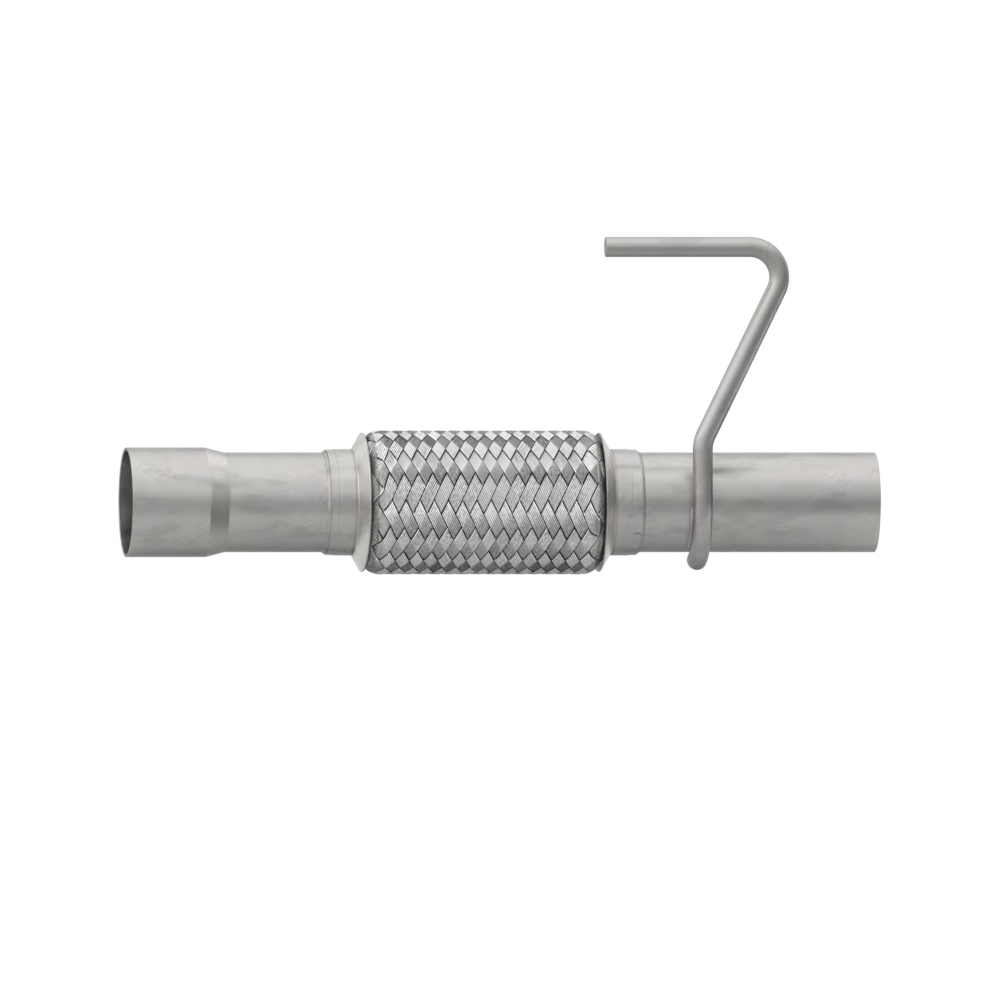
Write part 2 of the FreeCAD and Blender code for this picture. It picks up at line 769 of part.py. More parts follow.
def make_hanger_weld(label, side):
    """A fillet weld along one side of the hook, between rod and pipe."""
    body = new_body(label)
    sketch = new_sketch(body, f"{label}_section", "XZ_Plane")
    sign = "+" if side > 0 else "-"
    root = f"fitted.hanger_station {sign} sizes.hanger_weld_root"
    toe = f"fitted.hanger_station {sign} ({ROD_R} + sizes.hanger_weld_toe)"
    top = f"{PIPE_R} + sizes.hanger_weld_height"
    reach = (
        f"fitted.hanger_station {sign} sqrt({ROD_R} ^ 2"
        f" - ({ROD_R} - sizes.hanger_weld_height) ^ 2)"
    )
    draw_outline(sketch, [(root, PIPE_R), (root, top), (reach, top), (toe, PIPE_R)])
    bead = revolve(body, sketch, f"{label}_bead", "fitted.hanger_weld_angle")
    rod_section = new_sketch(body, f"{label}_rod_section", "XZ_Plane")
    draw_circle(rod_section, "fitted.hanger_station", ROD_CENTRE_R, ROD_R)
    doc.recompute()
    full = bead.Shape.Volume
    seat = body.newObject("PartDesign::Groove", f"{label}_seat")
    seat.Profile = rod_section
    seat.ReferenceAxis = (rod_section, ["H_Axis"])
    seat.setExpression("Angle", "fitted.hanger_weld_angle")
    rod_section.Visibility = False
    doc.recompute()
    if not seat.Shape.Volume < full:
        raise RuntimeError(f"{label}: the rod's seat cuts nothing")
    body.Tip = seat
    # the section stands on +Z; the hook starts at the front, on -Y
    body.setExpression("Placement.Rotation.Axis.x", "1")
    body.setExpression("Placement.Rotation.Axis.z", "0")
    body.setExpression("Placement.Rotation.Angle", "90 + sizes.hanger_weld_start")
    return body


# All the pieces

half_gap = size("cuff_clearance") / 2
ply = size("bellows_ply")
pieces = [
    make_inlet_pipe(),
    make_outlet_pipe(),
    make_end_cap("inlet_end_cap", -1),
    make_end_cap("outlet_end_cap", 1),
    make_pipe_weld("inlet_weld", -1),
    make_pipe_weld("outlet_weld", 1),
    make_bellows_ply("bellows_outer_ply", half_gap, half_gap + ply),
    make_bellows_ply("bellows_inner_ply", -half_gap - ply, -half_gap),
    make_inner_liner(),
    make_outer_braid(),
    make_hanger_rod(),
    make_hanger_weld("hanger_weld_inlet_side", -1),
    make_hanger_weld("hanger_weld_outlet_side", 1),
]
doc.recompute()

# Nothing is written unless every object is sound

for item in doc.Objects:
    if "Invalid" in item.State or "Error" in item.State:
        raise RuntimeError(f"{item.Label} failed: {item.State}")
for piece in pieces:
    shape = piece.Shape
    if shape.isNull() or not shape.isValid() or len(shape.Solids) != 1:
        raise RuntimeError(f"{piece.Label} is not one valid solid")

os.makedirs("parts", exist_ok=True)
for piece in pieces:
    piece.Shape.exportStep(f"parts/{piece.Label}.step")
    box = piece.Shape.BoundBox
    print(
        f"{piece.Label}: {piece.Shape.Volume:.1f} mm3, "
        f"x {box.XMin:.2f} to {box.XMax:.2f}, z {box.ZMin:.2f} to {box.ZMax:.2f}"
    )
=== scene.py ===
# %% [markdown]
# # An exhaust pipe with a woven flexible coupling
#
# The real part is bare stainless steel: two pipes, a braided coupling held between two
# flared caps, and a bent rod that hangs it under a vehicle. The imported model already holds
# the pipes, caps and rod at their real sizes, so this lesson keeps those solids and gives
# them a finish. It models afresh what a solid can't show: the woven strands, the thin
# tubes inside them, and the ripples of the weld beads.
#
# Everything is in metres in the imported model's frame: +X runs along the pipe from inlet to
# outlet, +Z is up, and the origin is the centre of the inlet face.

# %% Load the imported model
import math

import bpy
import numpy as np
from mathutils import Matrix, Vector, noise


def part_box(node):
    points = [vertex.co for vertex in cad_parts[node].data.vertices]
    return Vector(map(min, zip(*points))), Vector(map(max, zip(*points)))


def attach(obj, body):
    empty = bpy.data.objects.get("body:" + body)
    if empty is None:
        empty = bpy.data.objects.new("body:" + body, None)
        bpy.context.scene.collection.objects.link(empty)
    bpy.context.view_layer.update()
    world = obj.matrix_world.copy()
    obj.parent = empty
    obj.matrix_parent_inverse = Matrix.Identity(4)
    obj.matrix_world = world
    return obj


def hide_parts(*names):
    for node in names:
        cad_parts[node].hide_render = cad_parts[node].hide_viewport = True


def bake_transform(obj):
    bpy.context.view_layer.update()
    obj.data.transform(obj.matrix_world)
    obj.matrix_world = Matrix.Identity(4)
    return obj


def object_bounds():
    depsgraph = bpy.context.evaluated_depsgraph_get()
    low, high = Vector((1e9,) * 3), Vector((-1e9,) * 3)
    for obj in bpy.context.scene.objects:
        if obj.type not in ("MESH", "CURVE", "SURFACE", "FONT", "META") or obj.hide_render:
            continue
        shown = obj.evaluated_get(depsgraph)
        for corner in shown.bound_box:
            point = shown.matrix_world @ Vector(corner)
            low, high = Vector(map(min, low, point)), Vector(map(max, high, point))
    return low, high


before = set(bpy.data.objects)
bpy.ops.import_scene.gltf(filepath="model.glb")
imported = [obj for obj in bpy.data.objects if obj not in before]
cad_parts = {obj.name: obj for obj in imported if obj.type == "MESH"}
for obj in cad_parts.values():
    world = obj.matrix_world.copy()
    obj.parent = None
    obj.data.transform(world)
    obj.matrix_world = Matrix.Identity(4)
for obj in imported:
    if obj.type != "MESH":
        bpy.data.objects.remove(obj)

MM = 0.001
PIPE_AXIS = Vector((1, 0, 0))

cad_low, cad_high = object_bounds()
print("nodes:", ", ".join(sorted(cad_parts)))
print("box in mm:", [round(c / MM, 1) for c in (*cad_low, *cad_high)])

# %% [markdown]
# ## The places that everything else is measured from
#
# The coupling is the same at both ends, so its middle is the middle of the woven sleeve's
# box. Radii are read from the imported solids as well: the farthest point of a round piece
# from the pipe's axis is its radius, however the solid was divided into triangles.

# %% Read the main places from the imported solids


def points_of(piece):
    """A piece's points as an array with one row each."""
    points = np.empty(len(piece.data.vertices) * 3)
    piece.data.vertices.foreach_get("co", points)
    return points.reshape(-1, 3)


def outer_radius(node):
    """The farthest that a round piece reaches from the pipe's axis."""
    points = points_of(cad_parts[node])
    return float(np.hypot(points[:, 1], points[:, 2]).max())


sleeve_low, sleeve_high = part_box("outer_braid")
FLEX_CENTRE = (sleeve_low.x + sleeve_high.x) / 2
HEM_REACH = (sleeve_high.x - sleeve_low.x) / 2
SLEEVE_R = outer_radius("outer_braid")
PIPE_R = outer_radius("outlet_pipe")
print(f"coupling centre {FLEX_CENTRE / MM:.2f} mm, sleeve radius {SLEEVE_R / MM:.2f} mm")

# %% [markdown]
# ## The camera
#
# The picture was taken with so long a lens that nothing gets smaller with distance: the
# flared caps are equally tall at both ends. An orthographic camera does the same. It stands
# level, a little to the inlet's side, so that it just looks into the socket.

# %% Stand the camera level, to the inlet's side
CAMERA_TURN = math.radians(-7.7)
PICTURE_WIDTH = 501.5 * MM
CENTRE_RIGHT = 9.955 * MM
CENTRE_UP = 1.163 * MM
CAMERA_DISTANCE = 4.0
CAMERA_FAR = 20.0

camera_back = Vector((math.sin(CAMERA_TURN), -math.cos(CAMERA_TURN), 0))
camera_right = Vector((math.cos(CAMERA_TURN), math.sin(CAMERA_TURN), 0))
picture_centre = Vector((FLEX_CENTRE, 0, CENTRE_UP)) + CENTRE_RIGHT * camera_right

bpy.ops.object.camera_add(location=picture_centre + CAMERA_DISTANCE * camera_back)
camera = bpy.context.object
camera.rotation_euler = (-camera_back).to_track_quat("-Z", "Y").to_euler()
camera.data.type = "ORTHO"
camera.data.ortho_scale = PICTURE_WIDTH
camera.data.clip_end = CAMERA_FAR
bpy.context.scene.camera = camera
print(f"picture {PICTURE_WIDTH / MM:.1f} mm wide")

# %% [markdown]
# ## Finishes made of expressions
#
# A finish is a tree of shader nodes. Wiring such a tree by hand in code hides its meaning,
# so a small class stands for one socket: adding or multiplying two of them adds the Math
# node that does it. Every other node comes from one method that takes the node's type, its
# settings and what goes into its sockets.

# %% A socket that can be used in a sum


class Value:
    """The output of one shader node, which can be used in arithmetic."""

    def __init__(self, finish, socket):
        self.finish = finish
        self.socket = socket

    def calculate(self, operation, *values):
        return self.finish.node("ShaderNodeMath", {"operation": operation}, values)

    def __add__(self, other):
        return self.calculate("ADD", self, other)

    def __radd__(self, other):
        return self.calculate("ADD", other, self)

    def __sub__(self, other):
        return self.calculate("SUBTRACT", self, other)

    def __rsub__(self, other):
        return self.calculate("SUBTRACT", other, self)

    def __mul__(self, other):
        return self.calculate("MULTIPLY", self, other)

    def __rmul__(self, other):
        return self.calculate("MULTIPLY", other, self)

    def rounded_down(self):
        return self.calculate("FLOOR", self)

    def size(self):
        return self.calculate("ABSOLUTE", self)

    def root(self):
        return self.calculate("SQRT", self)

    def at_least(self, other):
        return self.calculate("MAXIMUM", self, other)

    def at_most(self, other):
        return self.calculate("MINIMUM", self, other)

    def between(self, low, high):
        """0 where the value is at or under low, 1 at or over high, and eased between."""
        spread = {"interpolation_type": "SMOOTHSTEP"}
        return self.finish.node("ShaderNodeMapRange", spread, (self, low, high))

    def near(self, centre, inner, outer):
        """1 where the value is within inner of the centre, 0 where it is beyond outer."""
        return 1.0 - (self - centre).size().between(inner, outer)

    def within(self, low, high, edge):
        """1 between low and high, with soft edges of the given width, and 0 outside."""
        return self.between(low, low + edge) * (1.0 - self.between(high - edge, high))


print("socket arithmetic ready")

# %% A tree of shader nodes


class Finish:
    """The node tree of one material or of the world."""

    def __init__(self, owner):
        owner.use_nodes = True
        self.owner = owner
        self.tree = owner.node_tree
        self.tree.nodes.clear()

    def node(self, kind, settings=None, inputs=(), output=0):
        """Adds a node, with its settings first, and gives back one of its outputs."""
        made = self.tree.nodes.new(kind)
        for name, setting in (settings or {}).items():
            if name == "stops":
                self.set_stops(made.color_ramp, setting)
            else:
                setattr(made, name, setting)
        pairs = inputs.items() if isinstance(inputs, dict) else enumerate(inputs)
        for key, value in pairs:
            if isinstance(value, Value):
                self.tree.links.new(value.socket, made.inputs[key])
            else:
                made.inputs[key].default_value = value
        return Value(self, made.outputs[output]) if made.outputs else made

    def set_stops(self, ramp, stops):
        """Gives a colour ramp grey stops: pairs of a place and a brightness."""
        for place, grey in stops[2:]:
            ramp.elements.new(place)
        for element, (place, grey) in zip(ramp.elements, stops):
            element.position = place
            element.color = (grey, grey, grey, 1)

    def place(self):
        """Object coordinates: metres from the origin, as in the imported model."""
        return self.node("ShaderNodeTexCoord", output="Object")

    def part(self, vector, way):
        """The X, Y or Z of a vector."""
        return self.node("ShaderNodeSeparateXYZ", inputs=[vector], output=way)

    def vector(self, x, y, z):
        return self.node("ShaderNodeCombineXYZ", inputs=[x, y, z])

    def mixed(self, share, one, other):
        """One colour where the share is 0 and the other where it is 1."""
        return self.node("ShaderNodeMix", {"data_type": "RGBA"}, {0: share, 6: one, 7: other}, 2)

    def lit(self, tone):
        """A face that shines with this tone."""
        return self.node("ShaderNodeEmission", inputs={"Color": tone, "Strength": 1.0})

    def noise(self, vector, detail=1.0, scale=1.0, distortion=0.0):
        """A smooth noise between 0 and 1."""
        return self.node("ShaderNodeTexNoise", inputs={
            "Vector": vector, "Scale": scale, "Detail": detail, "Distortion": distortion})

    def spots(self, place, spread, detail=2.0, stretch=(1.0, 1.0, 1.0), seed=(0.0, 0.0, 0.0)):
        """A smooth noise whose spots are about as wide as the given spread."""
        moved = self.node("ShaderNodeVectorMath", {"operation": "MULTIPLY_ADD"},
                          [place, tuple(s / spread for s in stretch), seed])
        return self.noise(moved, detail)

    def end_in(self, surface):
        """Ends the tree in this surface and gives back the material."""
        self.node("ShaderNodeOutputMaterial", inputs={"Surface": surface})
        return self.owner

    def end_in_metal(self, tint, bright, rough, height, rim):
        """Ends the tree in bare metal and gives back the material.

        The rim says how much light the metal keeps where it is seen almost along its surface.
        """
        tone = self.node("ShaderNodeVectorMath", {"operation": "MULTIPLY"},
                         [tint, self.vector(bright, bright, bright)])
        bump = self.node("ShaderNodeBump", inputs={
            "Strength": 1.0, "Distance": 1.0, "Height": height})
        return self.end_in(self.node("ShaderNodeBsdfPrincipled", inputs={
            "Base Color": tone, "Metallic": 1.0, "Roughness": rough, "Normal": bump,
            "Specular Tint": (rim, rim, rim, 1)}))

    def seen_or_mirrored(self):
        """1 for a ray that shows the background or mirrors it, 0 for one of soft light."""
        rays = [self.node("ShaderNodeLightPath", output=kind)
                for kind in ("Is Camera Ray", "Is Glossy Ray", "Is Transmission Ray")]
        return (rays[0] + rays[1] + rays[2]).at_most(1.0)


print("finish tools ready")

# %% [markdown]
# ## The studio
#
# Bare steel has no colour of its own to show: its shape reads from what it mirrors. In a
# room that is white all round, a pipe looks flat. So this studio is a white room with a
# wide soft light overhead, a grey wall round the part and a grey card under it, as a
# photographer of metal sets them up. The pipe then has a bright top, a dim band along its
# middle where it mirrors the wall and the card, and an underside that mirrors the floor.
#
# The floor lies low enough for the outlet's end, which sinks when the coupling bends down.
# It glows enough to be white in the picture. In a reflection it glows less, so that the
# undersides of the pipes stay dim.

# %% Make a white room with a pale floor
BEND_LIMIT = math.radians(8)
FLOOR_GAP = 1.5 * MM
ROUND_CORNERS = 96
FLOOR_RADIUS = 6.0
FLOOR_COLOUR = (0.74, 0.74, 0.74, 1)
FLOOR_GLOW = 0.26
MIRRORED_GLOW = 0.10

sunk = (cad_high.x - FLEX_CENTRE) * math.sin(BEND_LIMIT) + PIPE_R * math.cos(BEND_LIMIT)
FLOOR_Z = -sunk - FLOOR_GAP

scene = bpy.context.scene
scene.world = scene.world or bpy.data.worlds.new("studio")
room = Finish(scene.world)
white = {"Color": (1, 1, 1, 1), "Strength": 1.0}
background = room.node("ShaderNodeBackground", inputs=white)
room.node("ShaderNodeOutputWorld", inputs={"Surface": background})
scene.view_settings.view_transform = "Standard"


def round_sheet(name, radius, height):
    """A round flat sheet under the coupling."""
    bpy.ops.mesh.primitive_circle_add(vertices=ROUND_CORNERS, radius=radius,
                                      fill_type="NGON", location=(FLEX_CENTRE, 0, height))
    bpy.context.object.name = name
    return bpy.context.object


floor = round_sheet("floor", FLOOR_RADIUS, FLOOR_Z)
pale = Finish(bpy.data.materials.new("pale_floor"))
matt = pale.node("ShaderNodeBsdfDiffuse", inputs={"Color": FLOOR_COLOUR, "Roughness": 1.0})
shown = pale.node("ShaderNodeLightPath", output="Is Camera Ray")
glow = MIRRORED_GLOW + shown * (FLOOR_GLOW - MIRRORED_GLOW)
lifted = pale.node("ShaderNodeAddShader", inputs=[matt, pale.lit(glow)])
seen = pale.node("ShaderNodeMixShader", inputs=[pale.seen_or_mirrored(), matt, lifted])
floor.data.materials.append(pale.end_in(seen))
print("floor at", round(FLOOR_Z / MM, 1), "mm")

# %% Set up the grey cards, which only reflections see
CARD_GAP = 0.3 * MM
CARD_Z = cad_low.z - CARD_GAP
WALL_RADIUS = 1.0
WALL_TOP = 0.72
WALL_STOPS = [(0.0, 0.43), (0.05, 0.485), (0.50, 0.96), (0.78, 1.08), (1.0, 1.10)]
BACK_STOPS = [(0.0, 0.45), (0.05, 0.52), (0.30, 0.86), (0.50, 1.0), (1.0, 1.05)]
BACK_FADE = (0.0, 0.45)
LEFT_TO_RIGHT = 0.60
CARD_GREY = 0.53
CARD_FADE = (0.055, 0.115)


def only_in_reflections(card):
    """Keeps a card out of the picture, and keeps it from shading the floor."""
    card.visible_camera = False
    card.visible_diffuse = False
    card.visible_shadow = False


bpy.ops.mesh.primitive_cylinder_add(
    vertices=ROUND_CORNERS,
    radius=WALL_RADIUS,
    depth=WALL_TOP - CARD_Z,
    end_fill_type="NOTHING",
    location=(FLEX_CENTRE, 0, (WALL_TOP + CARD_Z) / 2),
)
wall = bpy.context.object
wall.name = "grey_wall"
wall_paint = Finish(bpy.data.materials.new("wall_card"))
right, back, up = [wall_paint.part(wall_paint.place(), way) for way in "XYZ"]
up = up * (1 / (WALL_TOP - CARD_Z)) + 0.5
front_tone = wall_paint.node("ShaderNodeValToRGB", {"stops": WALL_STOPS}, [up])
front_tone = front_tone * (1.0 - right * LEFT_TO_RIGHT)
back_tone = wall_paint.node("ShaderNodeValToRGB", {"stops": BACK_STOPS}, [up])
wall_tone = front_tone + (back_tone - front_tone) * back.between(*BACK_FADE)
wall.data.materials.append(wall_paint.end_in(wall_paint.lit(wall_tone)))
only_in_reflections(wall)

low_card = round_sheet("grey_floor_card", WALL_RADIUS, CARD_Z)
card_paint = Finish(bpy.data.materials.new("floor_card"))
right, back = [card_paint.part(card_paint.place(), way) for way in "XY"]
card_tone = (1.0 - right * LEFT_TO_RIGHT) * CARD_GREY
clear = card_paint.node("ShaderNodeBsdfTransparent")
there = back.size().between(*CARD_FADE)
faded = card_paint.node("ShaderNodeMixShader", inputs=[there, clear, card_paint.lit(card_tone)])
low_card.data.materials.append(card_paint.end_in(faded))
only_in_reflections(low_card)
print("stage:", floor.name, wall.name, low_card.name)

# %% Hang the lamps
LAMPS = [
    # name, direction from the coupling, distance, width, brightness of its face
    ("top_light", (0.0, 0.0, 1.0), 0.9, 1.5, 0.30),
    ("left_light", (-0.85, -0.35, 0.40), 1.2, 0.6, 0.12),
]
for name, direction, distance, width, brightness in LAMPS:
    target = Vector((FLEX_CENTRE, 0, 0))
    spot = target + distance * Vector(direction).normalized()
    bpy.ops.object.light_add(type="AREA", location=spot)
    lamp = bpy.context.object
    lamp.name = name
    lamp.rotation_euler = (target - spot).to_track_quat("-Z", "Y").to_euler()
    lamp.data.size = width
    lamp.data.energy = brightness * math.pi * width**2
    print(f"{name}: {lamp.data.energy:.1f} W, {width} m wide")

# %% [markdown]
# ## Bare stainless steel
#
# Tube that has been rolled, welded and handled is not a mirror. Its surface has three
# kinds of detail, each at its own scale: soft cloudy patches a centimetre or two across,
# where the sheet was pickled; a very fine grain from the rolls, along the tube; and thin
# scuffs where parts slid past each other. All of them change how sharply the steel
# reflects, so they go into the roughness, with a little into the colour and the bump.
#
# One recipe serves every bare piece. What differs is how bright the metal is, how sharp
# its reflections are and how strongly each detail shows. Some light and shade is painted
# into the colour by the part's shape: painted shade on faces that look down, a painted dark
# belly and a painted bright crest on the taper next to the socket, and on the pressed caps
# painted shade in a crease, along the tips and inside the flares, and painted light on the
# flares. The caps also have a pressed ring on the lip and a short mark.

# %% Details and tones of bare steel
# how wide the spots of each detail are, and the part of its noise where it fades in
CLOUD_SIZE, STAIN_SIZE, HUE_SIZE, WORN_SIZE = 13 * MM, 9 * MM, 30 * MM, 17 * MM
SPECK_SIZE, FIBRE_SIZE = 1.1 * MM, 0.2 * MM
STAIN_FADE, HUE_FADE, WORN_FADE = (0.54, 0.70), (0.38, 0.62), (0.50, 0.62)
# how much each detail changes the brightness, the roughness and the height
CLOUD_TONE, STAIN_TONE, SCUFF_TONE, SPECK_TONE = 0.30, 0.20, 0.13, 0.07
CLOUD_ROUGH, SCUFF_ROUGH, FIBRE_ROUGH = 0.22, 0.06, 0.10
SCUFF_DEPTH, FIBRE_HEIGHT, SPECK_HEIGHT = 0.010 * MM, 0.003 * MM, 0.002 * MM
SCRATCHES = [
    # turn on the skin, length and width of its noise, place in the noise, light or dark
    (0.95, 13 * MM, 1.9 * MM, 3.1, 1.0),
    (0.55, 10 * MM, 1.5 * MM, 8.7, -1.0),
    (-0.70, 15 * MM, 1.7 * MM, 15.3, 0.7),
]
SCRATCH_LINE = (0.5, 0.010, 0.055)
WARM = (1.00, 1.00, 1.00, 1)
COOL = (0.985, 0.978, 0.998, 1)

# faces that look down get painted shade: how far they look down where it starts and where it is
# full
UNDERSIDE_FADE, UNDERSIDE_SHADE = (0.76, 1.0), 0.30

# the taper's painted light: its two ends and their softness, a painted dark belly and a painted
# bright crest
TAPER_X = (39.2 * MM, 49.4 * MM, 0.4 * MM)
BELLY_Z, TAPER_BELLY_SHADE = (-8 * MM, 0.5 * MM, 11 * MM), 0.50
CREST_Z, TAPER_CREST_HIGHLIGHT = (17 * MM, 21 * MM), 0.20

# the pressed caps: reach from the coupling's middle, and how wide the line is and fades; painted
# shade in the crease and along the tips
CREASE, CREASE_SHADE = (65.7 * MM, 0.3 * MM, 1.1 * MM), 0.22
TIP, TIP_SHADE, OUTLET_TIP_SHADE = (59.6 * MM, 0.3 * MM, 0.9 * MM), 0.15, 0.35
RING, RING_DEPTH = (74.2 * MM, 0.05 * MM, 0.45 * MM), 0.10 * MM
# a short mark on the front of the outlet's cap
NOTCH_X = (253.9 * MM, 258.0 * MM, 0.5 * MM)
NOTCH_Z = (-15.6 * MM, 0.2 * MM, 0.6 * MM)
NOTCH_FRONT, NOTCH_SHADE = (0.0, 1 * MM), 0.45
# the flares: how far they lean along the pipe, and their low part; painted light on the flares,
# and painted shade on their insides
LEAN_FADE, LOW_FADE = (0.5, 0.7), (8 * MM, 24 * MM)
FLARE_PAINTED_LIGHT, LOW_PAINTED_LIGHT, OUTLET_PAINTED_LIGHT, BRIGHTEST = 0.38, 0.36, 0.30, 1.70
INSIDE_SHADE = 0.25
print(len(SCRATCHES), "directions of scratches on bare steel")

# %% One recipe for bare steel


def scratched(steel, x, y, z, worn):
    """Scratches where the skin is worn: how much they lighten it, and how deep they are."""
    round_it = y.calculate("ARCTAN2", z, y * -1.0) * PIPE_R
    light, dent = 0.0, 0.0
    for turn, length, width, seed, sign in SCRATCHES:
        down = x * (math.cos(turn) / length) + round_it * (math.sin(turn) / length)
        over = round_it * (math.cos(turn) / width) - x * (math.sin(turn) / width)
        wave = steel.noise(steel.vector(down, over, seed), distortion=0.4)
        line = wave.near(*SCRATCH_LINE) * worn
        light = light + line * sign
        dent = dent + line
    return light, dent


def painted_taper_light(x, z):
    """The taper's painted light: painted shade along its belly, a painted highlight along its
    crest.
    """
    belly, crest = z.near(*BELLY_Z), z.between(*CREST_Z)
    return 1.0 - x.within(*TAPER_X) * (belly * TAPER_BELLY_SHADE - crest * TAPER_CREST_HIGHLIGHT)


def pressed_cap(bright, height, lean, x, y, z):
    """Adds a cap's painted light on the flares, painted shade in the crease, at the tips and
    inside, and its lip, ring and mark to its brightness and height.

    The lean says how far a face looks towards the outlet: on a flare, far either way.
    """
    from_middle = x - FLEX_CENTRE
    reach = from_middle.size()
    crease, tip, ring = [reach.near(*line) for line in (CREASE, TIP, RING)]
    notch = x.within(*NOTCH_X) * z.near(*NOTCH_Z) * (y * -1.0).between(*NOTCH_FRONT)
    outward = from_middle.calculate("SIGN", from_middle)
    flare = lean.size().between(*LEAN_FADE)
    inside = (lean * outward * -1.0).between(*LEAN_FADE)
    outlet = lean.between(*LEAN_FADE) * (1.0 - inside)
    low = (z * -1.0).between(*LOW_FADE)
    # painted light on the flares, more on their low part and on the outlet's; painted shade
    # inside them, in the crease and along the tips
    bright = (bright - notch * NOTCH_SHADE) * (1.0 + flare * (low * LOW_PAINTED_LIGHT + FLARE_PAINTED_LIGHT))
    bright = bright * (1.0 - inside * INSIDE_SHADE + outlet * OUTLET_PAINTED_LIGHT)
    bright = bright.at_most(BRIGHTEST) - crease * CREASE_SHADE
    bright = bright - tip * (TIP_SHADE + outlet * OUTLET_TIP_SHADE)
    return bright, height - ring * RING_DEPTH


def bare_steel(name, shape, colour, roughness, clouds, scuffs, grain, rim):
    """A metal with cloudy patches, scratches and a fine grain, each with its strength."""
    steel = Finish(bpy.data.materials.new(name))
    place = steel.place()
    x, y, z = [steel.part(place, way) for way in "XYZ"]
    cloud = steel.spots(place, CLOUD_SIZE, detail=3.0)
    stain = steel.spots(place, STAIN_SIZE, stretch=(0.35, 1.0, 1.0), seed=(5.0, 2.0, 7.0))
    hue = steel.spots(place, HUE_SIZE, seed=(1.0, 9.0, 4.0))
    speck = steel.spots(place, SPECK_SIZE)
    fibre = steel.spots(place, FIBRE_SIZE, detail=1.0, stretch=(0.1, 1.0, 1.0))
    worn = steel.spots(place, WORN_SIZE, detail=1.0, seed=(2.0, 5.0, 3.0))
    light, dent = scratched(steel, x, y, z, worn.between(*WORN_FADE))

    bright = 1.0 + (cloud - 0.5) * (CLOUD_TONE * clouds) + (speck - 0.5) * (SPECK_TONE * grain)
    bright = bright + light * (SCUFF_TONE * scuffs)
    bright = bright - stain.between(*STAIN_FADE) * (STAIN_TONE * clouds)
    height = fibre * (FIBRE_HEIGHT * grain) + speck * (SPECK_HEIGHT * grain)
    height = height - dent * (SCUFF_DEPTH * scuffs)
    rough = roughness + (cloud - 0.5) * (CLOUD_ROUGH * clouds) + dent * (SCUFF_ROUGH * scuffs)
    rough = rough + (fibre - 0.5) * (FIBRE_ROUGH * grain)

    normal = steel.node("ShaderNodeNewGeometry", output="Normal")
    down = steel.part(normal, "Z") * -1.0
    # painted shade on faces that look down
    bright = bright * (1.0 - down.between(*UNDERSIDE_FADE) * UNDERSIDE_SHADE)
    if shape == "tapered":
        # painted shade and painted highlight on the taper
        bright = bright * painted_taper_light(x, z)
    if shape == "pressed":
        bright, height = pressed_cap(bright, height, steel.part(normal, "X"), x, y, z)
    tint = steel.mixed(hue.between(*HUE_FADE), WARM, COOL)
    tint = steel.node("ShaderNodeVectorMath", {"operation": "MULTIPLY"}, [tint, colour])
    return steel.end_in_metal(tint, bright, rough, height, rim)


BARE_STEELS = [
    # name, shape, colour, roughness, strength of clouds, scuffs and grain, and rim
    ("tube_steel", "tapered", (0.505, 0.495, 0.476), 0.30, 0.7, 0.7, 0.7, 0.7),
    ("cap_steel", "pressed", (0.515, 0.505, 0.488), 0.29, 0.7, 0.5, 0.5, 0.8),
    ("rod_steel", "plain", (0.480, 0.472, 0.456), 0.33, 0.6, 0.6, 0.8, 0.6),
    ("bead_steel", "plain", (0.490, 0.480, 0.462), 0.42, 1.0, 0.2, 1.2, 0.5),
    ("thin_steel", "plain", (0.540, 0.532, 0.518), 0.24, 0.5, 0.2, 0.6, 0.8),
]
steels = {name: bare_steel(name, *look) for name, *look in BARE_STEELS}


def dress(piece, finish):
    """Gives a piece one finish in place of what it has."""
    materials = piece.data.materials
    materials.clear()
    materials.append(finish)


CARRIED_OVER = {
    "inlet_pipe": "tube_steel",
    "outlet_pipe": "tube_steel",
    "inlet_end_cap": "cap_steel",
    "outlet_end_cap": "cap_steel",
    "hanger_rod": "rod_steel",
}
for node, finish in CARRIED_OVER.items():
    dress(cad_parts[node], steels[finish])
print("carried over from the packed model:", ", ".join(CARRIED_OVER))

# %% [markdown]
# ## The line that the woven sleeve follows
#
# The sleeve is one wall with a rounded shoulder and a narrow hem at each end, where it is
# gripped under the flared cap. Seen from the side its outside is a straight line, a round
# shoulder, a tight neck and a short hem. A place on it is given by how far one has walked
# along that line from the middle, because that is how wire lies on it.

# %% Half of the sleeve's side line
SHOULDER_ROUND = 9.7 * MM
NECK_ROUND = 1.2 * MM
HEM_R = 26.6 * MM
STRAIGHT_REACH = 51.3 * MM

shoulder_centre_r = SLEEVE_R - SHOULDER_ROUND
neck_rise = HEM_R + NECK_ROUND - shoulder_centre_r
neck_span = SHOULDER_ROUND + NECK_ROUND
NECK_REACH = STRAIGHT_REACH + math.sqrt(neck_span**2 - neck_rise**2)
NECK_TURN = math.pi / 2 - math.asin(neck_rise / neck_span)
SHOULDER_END = STRAIGHT_REACH + SHOULDER_ROUND * NECK_TURN
NECK_END = SHOULDER_END + NECK_ROUND * NECK_TURN


